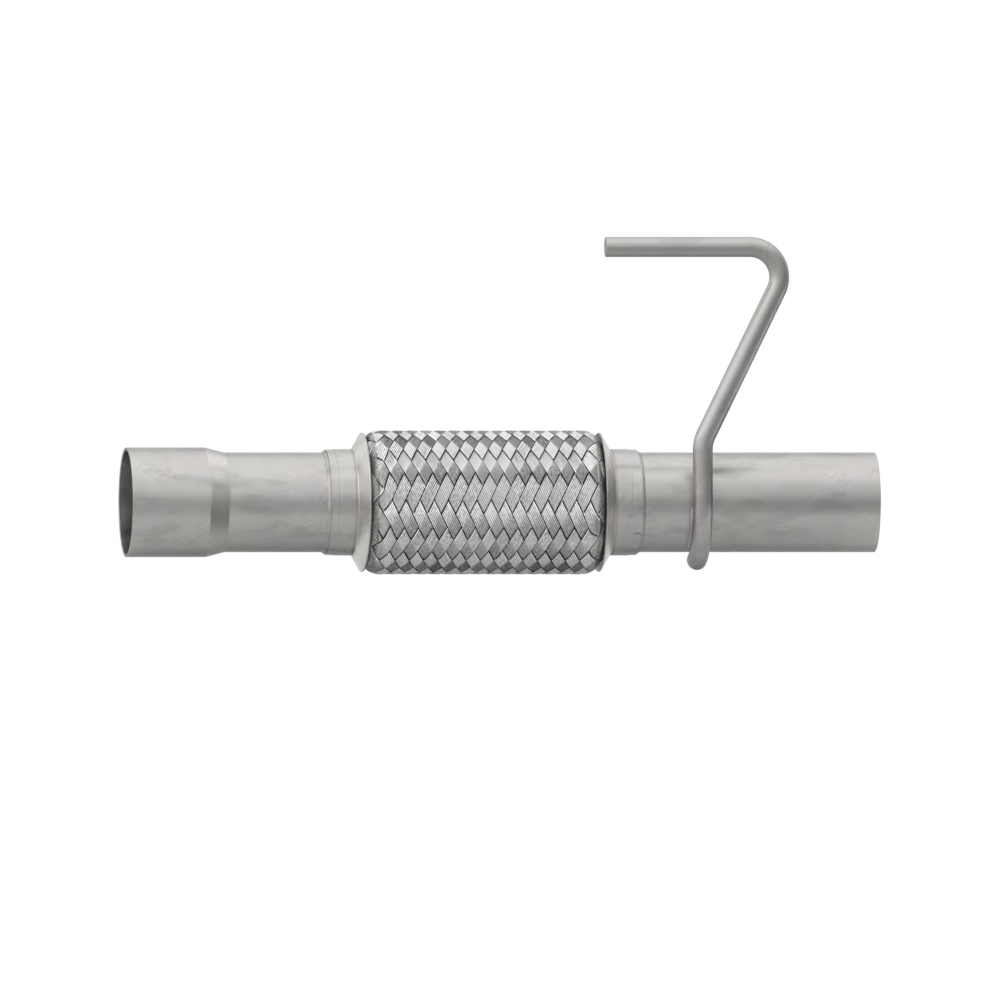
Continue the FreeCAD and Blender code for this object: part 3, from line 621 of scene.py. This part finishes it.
def sleeve_line(way):
    """Reach from the middle, radius and outward direction, a given way along the line."""
    way = np.asarray(way, dtype=float)
    on_shoulder = (way > STRAIGHT_REACH) & (way <= SHOULDER_END)
    on_neck = (way > SHOULDER_END) & (way <= NECK_END)
    past_neck = way > NECK_END
    turn = np.zeros_like(way)
    turn = np.where(on_shoulder, (way - STRAIGHT_REACH) / SHOULDER_ROUND, turn)
    turn = np.where(on_neck, NECK_TURN - (way - SHOULDER_END) / NECK_ROUND, turn)
    lean, rise = np.sin(turn), np.cos(turn)
    reach = np.where(on_shoulder, STRAIGHT_REACH + SHOULDER_ROUND * lean, way)
    reach = np.where(on_neck, NECK_REACH - NECK_ROUND * lean, reach)
    reach = np.where(past_neck, NECK_REACH + way - NECK_END, reach)
    radius = np.where(on_shoulder, shoulder_centre_r + SHOULDER_ROUND * rise, SLEEVE_R)
    radius = np.where(on_neck, HEM_R + NECK_ROUND - NECK_ROUND * rise, radius)
    radius = np.where(past_neck, HEM_R, radius)
    return reach, radius, lean, rise


print(f"side line: {2 * (NECK_END + HEM_REACH - NECK_REACH) / MM:.1f} mm from hem to hem")

# %% [markdown]
# ## The weave's lattice
#
# Sixteen flat strands wind one way and sixteen the other. They cross on a lattice: 32 rows
# around the sleeve, and columns 3.59 mm apart along it. A strand can't stretch, so the
# distance from one crossing to the next stays the same everywhere. Where the sleeve gets
# narrower the rows come together, and the columns have to move apart.

# %% Places of the columns along the sleeve
STRANDS_EACH_WAY = 16
ROW_TURN = math.pi / STRANDS_EACH_WAY
COLUMN = 3.59 * MM
FIRST_COLUMN = 0.52 * MM
FIRST_ROW = math.radians(2.1)
CROSSING = math.hypot(COLUMN, SLEEVE_R * ROW_TURN)
SHOULDER_STRETCH = 1.35
STRETCH_EASE = (1 * MM, 3 * MM)
TABLE_STEPS = 50
COLUMNS_TO_END = 24


def past_shoulder(way, before, after):
    """0 on the straight stretch, 1 on the shoulder, and eased around the shoulder's start."""
    return np.clip((abs(way) - STRAIGHT_REACH + before) / (before + after), 0, 1)


def column_spacing(way):
    """How far apart the columns are, at a given way from the middle."""
    spacing = np.sqrt(CROSSING**2 - (sleeve_line(abs(way))[1] * ROW_TURN) ** 2)
    return spacing * (1 + (SHOULDER_STRETCH - 1) * past_shoulder(way, *STRETCH_EASE))


def walk(direction):
    """Ways of a fine table of columns, from the first one out past one hem."""
    ways = [FIRST_COLUMN]
    for _ in range(COLUMNS_TO_END * TABLE_STEPS):
        step = float(column_spacing(ways[-1])) / TABLE_STEPS
        ways.append(ways[-1] + direction * step)
    return ways


column_ways = np.array(walk(-1)[:0:-1] + walk(1))
column_numbers = np.arange(len(column_ways)) / TABLE_STEPS - COLUMNS_TO_END


def way_of(column):
    """The way along the sleeve of a column, whole or not."""
    return np.interp(column, column_numbers, column_ways)


print(f"a strand is {CROSSING / MM:.2f} mm long from one crossing to the next")

# %% [markdown]
# ## One strand, modelled flat
#
# A strand is seven hard-drawn wires lying side by side. It is modelled once, flat and
# straight: a grid is rolled into a closed ribbon whose top has seven rounded backs. Then
# every strand of the sleeve is a copy of it, laid along its own path.

# %% Roll a grid into a ribbon of seven wires
WIRES = 7
FACES_PER_WIRE = 3
TOP_FACES = WIRES * FACES_PER_WIRE
STRAND_THICKNESS = 0.36 * MM
WIRE_GROOVE = 0.15 * MM
STRAND_CROWN = 0.06 * MM
PERIOD = 4
PERIODS = 11
HALF_FLOAT = (0.0, 0.05, 0.14, 0.35, 0.60, 0.80, 0.93, 1.03, 1.13, 1.45)
SAME_SPOT = 0.001 * MM


def grid_sheet(name, faces_across, faces_along):
    """A flat grid, and the place of each point on it counted in faces."""
    bpy.ops.mesh.primitive_grid_add(
        x_subdivisions=faces_across, y_subdivisions=faces_along, size=2, calc_uvs=True
    )
    sheet = bpy.context.object
    sheet.name = name
    sheet.data.name = name
    points = points_of(sheet)
    across = np.round((points[:, 0] + 1) / 2 * faces_across)
    along = np.round((points[:, 1] + 1) / 2 * faces_along)
    return sheet, across, along


def put_points(piece, x, y, z):
    """Moves a piece's points to new places."""
    points = np.stack([x, y, z], axis=1)
    piece.data.vertices.foreach_set("co", points.ravel())
    piece.data.update()


def merge_and_turn_out(fill_ends=False):
    """Closes the active piece's seam where its sheet meets itself, and turns faces outwards."""
    bpy.ops.object.mode_set(mode="EDIT")
    bpy.ops.mesh.select_all(action="SELECT")
    bpy.ops.mesh.remove_doubles(threshold=SAME_SPOT)
    if fill_ends:
        bpy.ops.mesh.fill_holes(sides=0)
    bpy.ops.mesh.normals_make_consistent(inside=False)
    bpy.ops.object.mode_set(mode="OBJECT")


# places along the strand, in crossings from the middle of a float: close together where it
# bends over its crest and dives under, and far apart where it is hidden
one_period = sorted({*HALF_FLOAT, *(-place for place in HALF_FLOAT), PERIOD / 2})
station_places = np.array([
    place + PERIOD * (period - PERIODS // 2)
    for period in range(PERIODS)
    for place in one_period
])
flat_strand, across, along = grid_sheet("flat_strand", TOP_FACES + 1, len(station_places) - 1)
across = across % (TOP_FACES + 1)
side = across / TOP_FACES * 2 - 1
height = np.where(across % FACES_PER_WIRE == 0, -WIRE_GROOVE, 0.0) - STRAND_CROWN * side**4
height = height + STRAND_THICKNESS / 2
height = np.where(abs(side) == 1, -STRAND_THICKNESS / 2, height)
put_points(flat_strand, side / 2, station_places[along.astype(int)], height)
merge_and_turn_out()
print("flat strand:", len(flat_strand.data.polygons), "faces")

# %% [markdown]
# ## Over two, under two
#
# Each strand passes over two crossing strands and then under two. Its height is a wave
# that repeats every four crossings. Real wires never lie perfectly even, so the whole
# lattice is pushed about by a smooth noise, more at the shoulders, where the strands bunch
# as the sleeve closes in. Both directions read the same noise at the same place, so they
# still interlock. Each strand also wanders a little sideways, and each of its wires up and
# down.

# %% Lay a copy of the strand along its path
HALF_WIDTH = 0.492
PINCH = 0.010
FLOAT_RISE = 0.28 * MM
FLOAT_END = -0.04 * MM
UNDER_LEVEL = -0.42 * MM
DIVE_START = 0.93
DIVE_END = 1.13
CREST_ROUND = 0.05
HEM_THINNESS = 0.52
WEAVE_DRIFT = 0.05
SHOULDER_DRIFT = 0.60
DRIFT_EASE = (3 * MM, 4 * MM)
ROW_SHARE = 0.7
COLUMN_SEED, ROW_SEED = 10.0, 30.0
NOISE_PER_COLUMN, NOISE_RADIUS = 0.35, 2.6
# sideways wander of a strand and height of a wire: how far, crossings to one spot of the
# noise, and how far apart in it two strands or two wires lie
SIDE_DRIFT, SIDE_SPREAD, SIDE_APART, SIDE_SEED = 0.015, 2.5, 7.31, 40.0
WIRE_DRIFT, WIRE_SPREAD, WIRE_APART, STRAND_APART = 0.04 * MM, 1.7, 3.7, 5.1
RISING_SEED, FALLING_SEED = 100, 200
STRAND_STRIDE = 20


def weave_height(place):
    """Height of a strand and how far it dives, by its place from a float's middle."""
    off = abs((place + PERIOD / 2) % PERIOD - PERIOD / 2)
    dive = np.clip((off - DIVE_START) / (DIVE_END - DIVE_START), 0, 1)
    dive = dive * dive * (3 - 2 * dive)
    arch = FLOAT_END + FLOAT_RISE * (1 - np.hypot(off, CREST_ROUND))
    return arch * (1 - dive) + UNDER_LEVEL * dive, dive


def weave_noise(column, row, seed):
    """A smooth noise for each place on the lattice, the same for both directions."""
    side, up = NOISE_RADIUS * np.cos(row * ROW_TURN), NOISE_RADIUS * np.sin(row * ROW_TURN)
    spots = np.stack([column * NOISE_PER_COLUMN, side, up + seed], axis=1)
    return np.array([noise.noise(spot) for spot in spots])


def strand_noise(number, along):
    """A smooth noise along one strand, different for each strand."""
    return np.array([
        noise.noise((number * SIDE_APART, a / SIDE_SPREAD, SIDE_SEED)) for a in along
    ])


def wire_noise(number, wire, along):
    """A smooth noise along one wire of a strand, different for each wire."""
    return np.array([
        noise.noise((w * WIRE_APART, a / WIRE_SPREAD, number * STRAND_APART))
        for w, a in zip(wire, along)
    ])


def number_wires(strand, number, place):
    """Makes the UV map say which wire a corner is on and how far from a float's middle."""
    layer = strand.data.uv_layers[0]
    layer.name = "UVMap"
    spots = np.empty(len(layer.data) * 2)
    layer.data.foreach_get("uv", spots)
    spots = spots.reshape(-1, 2)
    corners = np.empty(len(layer.data), dtype=np.int32)
    strand.data.loops.foreach_get("vertex_index", corners)
    spots[:, 0] = spots[:, 0] * (TOP_FACES + 1) / FACES_PER_WIRE + STRAND_STRIDE * number
    spots[:, 1] = place[corners]
    layer.data.foreach_set("uv", spots.ravel())


def lay_strand(number, rising):
    """One strand of the sleeve; rising strands climb the near side towards the outlet."""
    strand = flat_strand.copy()
    strand.data = flat_strand.data.copy()
    bpy.context.collection.objects.link(strand)
    side, along, height = points_of(strand).T

    # its own lane, and how far along the other direction's lanes each point lies
    lane = number + 0.5
    turn = 1 if rising else -1
    first_float = 0.5 if rising else 2.5
    seed = RISING_SEED if rising else FALLING_SEED
    shift = PERIOD * round((2 * lane + turn * first_float) / PERIOD)
    arch, dive = weave_height(along)
    wander = SIDE_DRIFT * strand_noise(number + seed, along)
    own = lane + side * 2 * (HALF_WIDTH - PINCH * dive) + wander
    other = lane + turn * (first_float + along) - shift
    column = own + other
    row = turn * (other - own)

    # the shared drift of the lattice, stronger past the straight stretch
    loose = past_shoulder(way_of(column), *DRIFT_EASE)
    strength = WEAVE_DRIFT + (SHOULDER_DRIFT - WEAVE_DRIFT) * loose
    column = column + strength * weave_noise(column, row, COLUMN_SEED)
    row = row + ROW_SHARE * strength * weave_noise(column, row, ROW_SEED)

    way = way_of(column)
    reach, radius, lean, rise = sleeve_line(abs(way))
    closing = np.clip((abs(way) - STRAIGHT_REACH) / (NECK_END - STRAIGHT_REACH), 0, 1)
    thinness = 1 - (1 - HEM_THINNESS) * closing
    lift = WIRE_DRIFT * wire_noise(number, np.round((side + 0.5) * WIRES), along)
    top = FLOAT_END + FLOAT_RISE * (1 - CREST_ROUND) + STRAND_THICKNESS / 2 + WIRE_DRIFT
    depth = thinness * (top - arch - height - lift)
    reach = reach - depth * lean
    radius = radius - depth * rise
    angle = FIRST_ROW + row * ROW_TURN
    x = FLEX_CENTRE + np.sign(way) * reach
    put_points(strand, x, -radius * np.cos(angle), radius * np.sin(angle))
    number_wires(strand, number, along)
    return strand


trial = lay_strand(0, True)
trial_r = np.hypot(*points_of(trial).T[1:])
print(f"radii of one laid strand: {trial_r.min() / MM:.2f} to {trial_r.max() / MM:.2f} mm")
bpy.data.objects.remove(trial)

# %% [markdown]
# ## Bright woven wire
#
# Drawn wire is smoother than the pipes. Each wire takes the light a little differently from
# the next. Painted shade darkens the grooves between wires, the strands' edges and the ends
# where a strand dives under, and painted highlights brighten the wires' crowns and a few
# outer wires. The strand was rolled from a grid, so its UV map can say which wire a point
# lies on and how far along it is.
#
# On the shoulders the strands lie in the caps' shade, and that shade is painted into the
# wire: a darker greenish grey with a fine mottle, which painted light brightens again deep
# under the cap. The wire gets rougher there, and the contrast between its floats and its
# grooves fades.

# %% Tones of the woven wire
# past the end of the straight stretch: where each tone of the shoulder starts and is full
SHOULDER_FADE = (-1.0 * MM, 3.0 * MM)
SOFT_FADE = (1.0 * MM, 2.5 * MM)
CAP_SHADE_FADE = (3.9 * MM, 4.9 * MM)
DEEP_FADE = (5.5 * MM, 8.0 * MM)
# the caps' painted shade on the shoulders: its mottle's size, colour, level, mottle strength and
# cover, and painted light deep under the cap
SHADE_MOTTLE_SIZE = 0.8 * MM
CAP_SHADE_COLOUR = (0.645, 0.655, 0.622, 1)
CAP_SHADE_LEVEL, SHADE_MOTTLE_TONE, CAP_SHADE_COVER = 0.46, 2.0, 0.72
DEEP_PAINTED_LIGHT, DARKEST = 0.95, 0.05

# across a strand and along a float: where grooves, outer wires, edges and dives fade in
GROOVE_FADE, GLINT_FADE = (0.15, 0.75), (0.55, 0.75)
OUTER_FADE = (WIRES / 2 - 1.1, WIRES / 2 - 0.9)
BRINK_FADE = (WIRES / 2 - 0.42, WIRES / 2 - 0.14)
DIVE_FADE = (0.87, 0.98)

# brightness: the plain level, its painted highlights, its painted shade, and what varies it
WIRE_LEVEL, CROWN_HIGHLIGHT = 1.17, 0.30
DIVE_SHADE, GROOVE_SHADE, BRINK_SHADE = 1.50, 0.95, 0.60
SHOULDER_SHADE, SOFT_SHADE = 0.26, 0.15
GROOVE_EASE, SOFT_EASE, DEEP_EASE = 0.70, 0.45, 0.90
FLOAT_TONE, WIRE_TONE, MARK_TONE = 0.28, 0.50, 0.85
SHOULDER_ROUGH, GROOVE_ROUGH, MARK_ROUGH, FLOAT_ROUGH = 0.10, 0.15, 0.14, 0.08

# relief, in the bump only: a float slopes to both sides of its crest
FACET_SLOPE, SHADED_EASE = 3.0 * MM, 0.6
CREST_SOFTNESS = 0.004
WIRE_BACK = 0.16 * MM
MARK_HEIGHT = 0.02 * MM
WIRE_RIM = 0.20
print(f"the shoulder's shade is full {DEEP_FADE[1] / MM} mm past the straight stretch")

# %% A finish that follows the wires


def woven_wire(name, colour, roughness):
    """Wire with painted shade in its grooves, painted highlights, a tone of its own for each
    wire, and fine draw marks.
    """
    steel = Finish(bpy.data.materials.new(name))
    where = steel.node("ShaderNodeUVMap", {"uv_map": "UVMap"})
    wire_place, along = [steel.part(where, way) for way in "XY"]

    # along the sleeve: 0 on the straight stretch, 1 deep in the shoulder's shade
    past = (steel.part(steel.place(), "X") - FLEX_CENTRE).size() - STRAIGHT_REACH
    shoulder, soft = past.between(*SHOULDER_FADE), past.between(*SOFT_FADE)
    shade, deep = past.between(*CAP_SHADE_FADE), past.between(*DEEP_FADE)
    shade_mottle = steel.noise(steel.place(), scale=1 / SHADE_MOTTLE_SIZE)

    # across the strand: rounded wires, with painted shade in the grooves and at the edges
    wire = wire_place.rounded_down()
    across = wire_place - wire
    crown = across * (1.0 - across) * 4.0
    groove = 1.0 - crown.between(*GROOVE_FADE)
    strand = (wire_place * (1 / STRAND_STRIDE)).rounded_down()
    from_middle = (wire_place - strand * STRAND_STRIDE - WIRES / 2).size()
    outer, brink = from_middle.between(*OUTER_FADE), from_middle.between(*BRINK_FADE)

    # along the strand: each float has a tone of its own and slopes from its crest
    turn = along * (1 / PERIOD) + 0.5
    float_number = turn.rounded_down()
    off = (turn - float_number - 0.5) * PERIOD
    off = (off * off + CREST_SOFTNESS).root()
    dive = off.between(*DIVE_FADE)
    number = steel.vector(strand, float_number, 0.0)
    own_tone = steel.node("ShaderNodeTexWhiteNoise", {"noise_dimensions": "2D"}, [number])
    number = steel.vector(float_number, strand, 7.0)
    glint_pick = steel.node("ShaderNodeTexWhiteNoise", {"noise_dimensions": "3D"}, [number])
    shine = outer * glint_pick.between(*GLINT_FADE) * crown
    wire_tone = steel.noise(steel.vector(wire * 3.7, along * 0.7, 0.0))
    marks = steel.noise(steel.vector(wire_place * 0.9, along * 4.0, 0.0), detail=2.0)

    # painted shade where a strand dives under, in its grooves and at its edges; painted
    # highlights on the wires' crowns and on a few outer wires
    dark = dive * DIVE_SHADE + groove * (GROOVE_SHADE - shoulder * GROOVE_EASE)
    dark = (dark + brink * BRINK_SHADE) * (1.0 - soft * SOFT_EASE) * (1.0 - deep * DEEP_EASE)
    bright = WIRE_LEVEL + crown * CROWN_HIGHLIGHT + shine - dark
    bright = bright - shoulder * SHOULDER_SHADE - soft * SOFT_SHADE
    bright = bright + (own_tone - 0.5) * FLOAT_TONE + (wire_tone - 0.5) * WIRE_TONE
    bright = bright + (marks - 0.5) * MARK_TONE
    # the caps' painted shade, mottled, with painted light deep under the cap
    cap_shade_tone = (shade_mottle - 0.5) * SHADE_MOTTLE_TONE + deep * DEEP_PAINTED_LIGHT + CAP_SHADE_LEVEL
    bright = (bright + (cap_shade_tone - bright) * (shade * CAP_SHADE_COVER)).at_least(DARKEST)
    tint = steel.mixed(shade, colour, CAP_SHADE_COLOUR)
    rough = roughness + shoulder * SHOULDER_ROUGH + groove * GROOVE_ROUGH
    rough = rough + (marks - 0.5) * MARK_ROUGH + (own_tone - 0.5) * FLOAT_ROUGH
    slope = off.at_most(1.0) * FACET_SLOPE * (1.0 - shade * SHADED_EASE)
    height = crown * WIRE_BACK - slope + marks * MARK_HEIGHT
    return steel.end_in_metal(tint, bright, rough, height, WIRE_RIM)


WIRE_COLOUR = (0.66, 0.66, 0.66, 1)
wire_steel = woven_wire("wire_steel", WIRE_COLOUR, roughness=0.26)
print("finish:", wire_steel.name)

# %% Weave the sleeve
STRAND_CREASE = math.radians(50)
WEAVE = [("braid_rising_strands", True), ("braid_falling_strands", False)]


def choose(pieces):
    """Selects these pieces only, and makes the first one active."""
    bpy.ops.object.select_all(action="DESELECT")
    for piece in pieces:
        piece.select_set(True)
    bpy.context.view_layer.objects.active = pieces[0]


def join(name, pieces):
    """Joins pieces into the first of them."""
    choose(pieces)
    bpy.ops.object.join()
    joined = bpy.context.object
    joined.name = name
    joined.data.name = name
    return joined


def trim(piece, x, keep_low):
    """Cuts a piece square across the pipe's axis and closes the cut."""
    choose([piece])
    bpy.ops.object.mode_set(mode="EDIT")
    bpy.ops.mesh.select_all(action="SELECT")
    bpy.ops.mesh.bisect(
        plane_co=(x, 0, 0),
        plane_no=PIPE_AXIS,
        use_fill=True,
        clear_outer=keep_low,
        clear_inner=not keep_low,
    )
    bpy.ops.object.mode_set(mode="OBJECT")


def bend_with_coupling(piece):
    """Bakes a piece's placement into its points."""
    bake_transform(piece)


for name, rising in WEAVE:
    strands = [lay_strand(number, rising) for number in range(STRANDS_EACH_WAY)]
    layer = join(name, strands)
    trim(layer, sleeve_low.x, keep_low=False)
    trim(layer, sleeve_high.x, keep_low=True)
    bpy.ops.object.shade_smooth_by_angle(angle=STRAND_CREASE)
    dress(layer, wire_steel)
    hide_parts("outer_braid")
    bend_with_coupling(layer)
    print(f"{name}: {len(layer.data.polygons)} faces")
bpy.data.objects.remove(flat_strand)

# %% [markdown]
# ## The folded tube and the wound tube inside
#
# Under the sleeve are two thin folded tubes, one formed inside the other, that hold the
# gas. Inside them a wound strip keeps the gas off the folds. They can be seen only down
# the bore and between the strands. Each starts as a flat sheet that is rolled round to a
# tube, takes its folds from a side line, and gets its wall from a Solidify modifier.

# %% Roll a sheet to a tube with a side line
TUBE_FACES = 96
TUBE_CREASE = math.radians(40)


def rolled_tube(name, line_x, line_r):
    """A tube whose side line goes through the given places and radii."""
    sheet, across, along = grid_sheet(name, TUBE_FACES, len(line_x) - 1)
    angle = across / TUBE_FACES * 2 * math.pi
    step = along.astype(int)
    radius = np.asarray(line_r)[step]
    put_points(
        sheet, np.asarray(line_x)[step], -radius * np.cos(angle), radius * np.sin(angle)
    )
    merge_and_turn_out()
    return sheet


def give_wall(piece, thickness):
    """Thickens a thin sheet inwards, with closed ends."""
    wall = piece.modifiers.new("wall", "SOLIDIFY")
    wall.thickness = thickness
    wall.offset = -1
    bpy.ops.object.modifier_apply(modifier=wall.name)
    bpy.ops.object.shade_smooth_by_angle(angle=TUBE_CREASE)


FOLDS = 16
FOLD_PITCH = 6.78 * MM
FOLD_HEIGHT = 6.9 * MM
PLY = 0.25 * MM
PLY_GAP = 0.06 * MM
CUFF_R = 25.34 * MM
ROOT_R = 27.2 * MM
COUPLING_REACH = 78.55 * MM
ARC_STEPS = 5


def folded_line(offset):
    """The folded tube's side line: two plain cuffs and round-topped folds between them."""
    bend = FOLD_PITCH / 4
    line = [(-COUPLING_REACH, CUFF_R + offset)]
    for fold in range(FOLDS):
        crest = (fold - (FOLDS - 1) / 2) * FOLD_PITCH
        first, last = fold == 0, fold == FOLDS - 1
        for centre, top, turns in (
            (crest - 2 * bend, False, (-90, 0)),
            (crest, True, (180, 0)),
            (crest + 2 * bend, False, (180, 270)),
        ):
            at_cuff = (first and centre < crest) or (last and centre > crest)
            root_r = CUFF_R if at_cuff else ROOT_R
            middle_r = ROOT_R + FOLD_HEIGHT - bend if top else root_r + bend
            size = bend + offset if top else bend - offset
            for step in range(ARC_STEPS):
                turn = math.radians(turns[0] + (turns[1] - turns[0]) * step / (ARC_STEPS - 1))
                line.append((centre + size * math.cos(turn), middle_r + size * math.sin(turn)))
    line.append((COUPLING_REACH, CUFF_R + offset))
    return line


def tidy_line(line):
    """Leaves out a point that repeats the one before it."""
    kept = line[:1]
    for spot in line[1:]:
        if math.dist(spot, kept[-1]) > SAME_SPOT:
            kept.append(spot)
    return [FLEX_CENTRE + x for x, _ in kept], [r for _, r in kept]


FOLDED_TUBES = [
    ("folded_outer_tube", "bellows_outer_ply", PLY_GAP / 2 + PLY),
    ("folded_inner_tube", "bellows_inner_ply", -PLY_GAP / 2),
]
for name, node, offset in FOLDED_TUBES:
    tube = rolled_tube(name, *tidy_line(folded_line(offset)))
    give_wall(tube, PLY)
    dress(tube, steels["thin_steel"])
    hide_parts(node)
    bend_with_coupling(tube)
    print(f"{name}: {len(tube.data.polygons)} faces")

# %% Wind the inner tube
LINER_LOW = PIPE_R
LINER_HIGH = 26.4 * MM
LINER_REACH = 66.5 * MM
LINER_CUFF = 16.1 * MM
LINER_TURNS = 24
LINER_WALL = 0.5 * MM
# one turn of the strip's side line: places along it as shares of its pitch, and radii
LINER_TURN = [(-0.28, LINER_LOW), (-0.22, LINER_HIGH), (0.22, LINER_HIGH), (0.28, LINER_LOW)]

liner_pitch = 2 * (LINER_REACH - LINER_CUFF) / LINER_TURNS
liner_line = [(-LINER_REACH, LINER_LOW)]
for turn in range(LINER_TURNS):
    centre = (turn - (LINER_TURNS - 1) / 2) * liner_pitch
    for place, radius in LINER_TURN:
        liner_line.append((centre + place * liner_pitch, radius))
liner_line.append((LINER_REACH, LINER_LOW))
liner = rolled_tube("wound_inner_tube", *tidy_line(liner_line))
give_wall(liner, LINER_WALL)
dress(liner, steels["thin_steel"])
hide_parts("inner_liner")
bend_with_coupling(liner)
print(f"wound_inner_tube: {len(liner.data.polygons)} faces")

# %% [markdown]
# ## Weld beads
#
# A bead is metal that froze in small overlapping ripples as the torch went along. The two
# beads that hold the coupling on its pipes go all the way round, with a small lump where
# the end ran over the start. The hanger has one bead along each side of its rod. A bead's
# section is a closed loop, so the same rolled sheet that made the strands makes a ring or a
# bar, and each point then rises by its place along the seam.

# %% Ripples by place along the seam
RIPPLE_PITCH = 1.25 * MM
RIPPLE_DEPTH = 0.07 * MM
RIPPLE_BOW = 0.4
BEAD_DRIFT = 0.10 * MM
DRIFT_SIZE = 3.5 * MM
BURIED = 0.3 * MM
FACE_POINTS = 8
WAVE_LEVEL = 0.6
BEAD_CREASE = math.radians(60)


def ripple(seam, across, x, y, z):
    """Height of the frozen waves: seam counts ripples, across runs from toe to top."""
    wave = abs(np.sin(math.pi * (seam + RIPPLE_BOW * (2 * across - 1) ** 2)))
    drift = [noise.noise(Vector(spot) / DRIFT_SIZE) for spot in zip(x, y, z)]
    return RIPPLE_DEPTH * (wave - WAVE_LEVEL) + BEAD_DRIFT * np.array(drift)


def finish_bead(bead, node, body):
    """Closes a bead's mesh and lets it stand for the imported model's plain one."""
    merge_and_turn_out(fill_ends=True)
    bpy.ops.object.shade_smooth_by_angle(angle=BEAD_CREASE)
    dress(bead, steels["bead_steel"])
    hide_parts(node)
    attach(bead, body)
    print(f"{bead.name}: {len(bead.data.polygons)} faces")


print(f"ripples {RIPPLE_PITCH / MM:.2f} mm apart")

# %% The beads between the pipes and their caps
BEAD_HEIGHT = 0.72 * MM
BEAD_ARC = 0.56 * math.pi
BEAD_STATIONS = 1008
BEAD_RIPPLES = round(2 * math.pi * PIPE_R / RIPPLE_PITCH)
START_ANGLE = math.radians(-36)
START_LUMP = 0.15 * MM
START_WIDTH = 0.05
PIPE_BEADS = [
    ("inlet_bead", "inlet_weld", "inlet_side", 1),
    ("outlet_bead", "outlet_weld", "outlet_side", -1),
]

for name, node, body, to_cap in PIPE_BEADS:
    ends = [corner.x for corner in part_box(node)]
    toe, top = ends if to_cap > 0 else ends[::-1]
    share = np.linspace(0, 1, FACE_POINTS)
    face_r = PIPE_R + BEAD_HEIGHT * np.sin(share * BEAD_ARC)
    inside = top + to_cap * BURIED
    section_x = np.array([*(toe + (top - toe) * share), inside, inside, toe])
    section_r = np.array([*face_r, PIPE_R + BURIED, PIPE_R - BURIED, PIPE_R - BURIED])
    bead, across, along = grid_sheet(name, BEAD_STATIONS, len(section_x))
    step = along.astype(int) % len(section_x)
    turn = across / BEAD_STATIONS
    angle = turn * 2 * math.pi
    x, radius = section_x[step], section_r[step]
    off_start = (angle - START_ANGLE + math.pi) % (2 * math.pi) - math.pi
    lump = START_LUMP * np.exp(-((off_start / START_WIDTH) ** 2))
    y, z = -PIPE_R * np.cos(angle), PIPE_R * np.sin(angle)
    waves = ripple(turn * BEAD_RIPPLES, step / FACE_POINTS, x, y, z)
    raised = (step > 0) & (step < FACE_POINTS)
    radius = radius + np.where(raised, waves + lump, 0)
    put_points(bead, x, -radius * np.cos(angle), radius * np.sin(angle))
    finish_bead(bead, node, body)

# %% The beads along the hanger rod
WELD_FROM = math.radians(3.4)
WELD_TO = math.radians(70.8)
WELD_STATIONS = 200
TOE_OUT = 5.8 * MM
TOP_OUT = 3.5 * MM
TOP_HEIGHT = 1.56 * MM
TOE_DEPTH = 0.06 * MM
BULGE = 0.20 * MM
END_ROUND = 7.0 * MM
END_SHARE = 0.01
ROOT_OUT = 3.0 * MM
ROOT_INSET = 0.6 * MM
TOP_DROP = 0.4 * MM
ROD_BEADS = [
    ("hanger_bead_inlet_side", "hanger_weld_inlet_side", -1),
    ("hanger_bead_outlet_side", "hanger_weld_outlet_side", 1),
]

weld_length = (WELD_TO - WELD_FROM) * PIPE_R
rod_x = (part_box(ROD_BEADS[0][1])[0].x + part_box(ROD_BEADS[1][1])[1].x) / 2
for name, node, way_out in ROD_BEADS:
    share = np.linspace(0, 1, FACE_POINTS)
    bulge = BULGE * np.sin(share * math.pi)
    section_out = np.array([*(TOE_OUT + (TOP_OUT - TOE_OUT) * share + bulge),
                            ROOT_OUT - ROOT_INSET, ROOT_OUT, TOE_OUT - ROOT_INSET])
    section_up = np.array([*(-TOE_DEPTH + (TOP_HEIGHT + TOE_DEPTH) * share + bulge),
                           TOP_HEIGHT - TOP_DROP, -2 * BURIED, -2 * BURIED])
    bead, across, along = grid_sheet(name, WELD_STATIONS, len(section_out))
    step = along.astype(int) % len(section_out)
    seam = across / WELD_STATIONS
    angle = -(WELD_FROM + seam * (WELD_TO - WELD_FROM))
    out, up = section_out[step], section_up[step]
    x = rod_x + way_out * out
    y, z = -PIPE_R * np.cos(angle), PIPE_R * np.sin(angle)
    waves = ripple(seam * weld_length / RIPPLE_PITCH, step / FACE_POINTS, x, y, z)
    to_end = np.minimum(seam, 1 - seam) * weld_length
    full = np.sqrt(1 - (1 - np.clip(to_end / END_ROUND, END_SHARE, 1)) ** 2)
    raised = step < FACE_POINTS
    out = np.where(raised, ROOT_OUT + (out + waves - ROOT_OUT) * full, out)
    up = np.where(raised, (up + waves) * full, up)
    radius = PIPE_R + up
    put_points(bead, rod_x + way_out * out, -radius * np.cos(angle), radius * np.sin(angle))
    finish_bead(bead, node, "outlet_side")
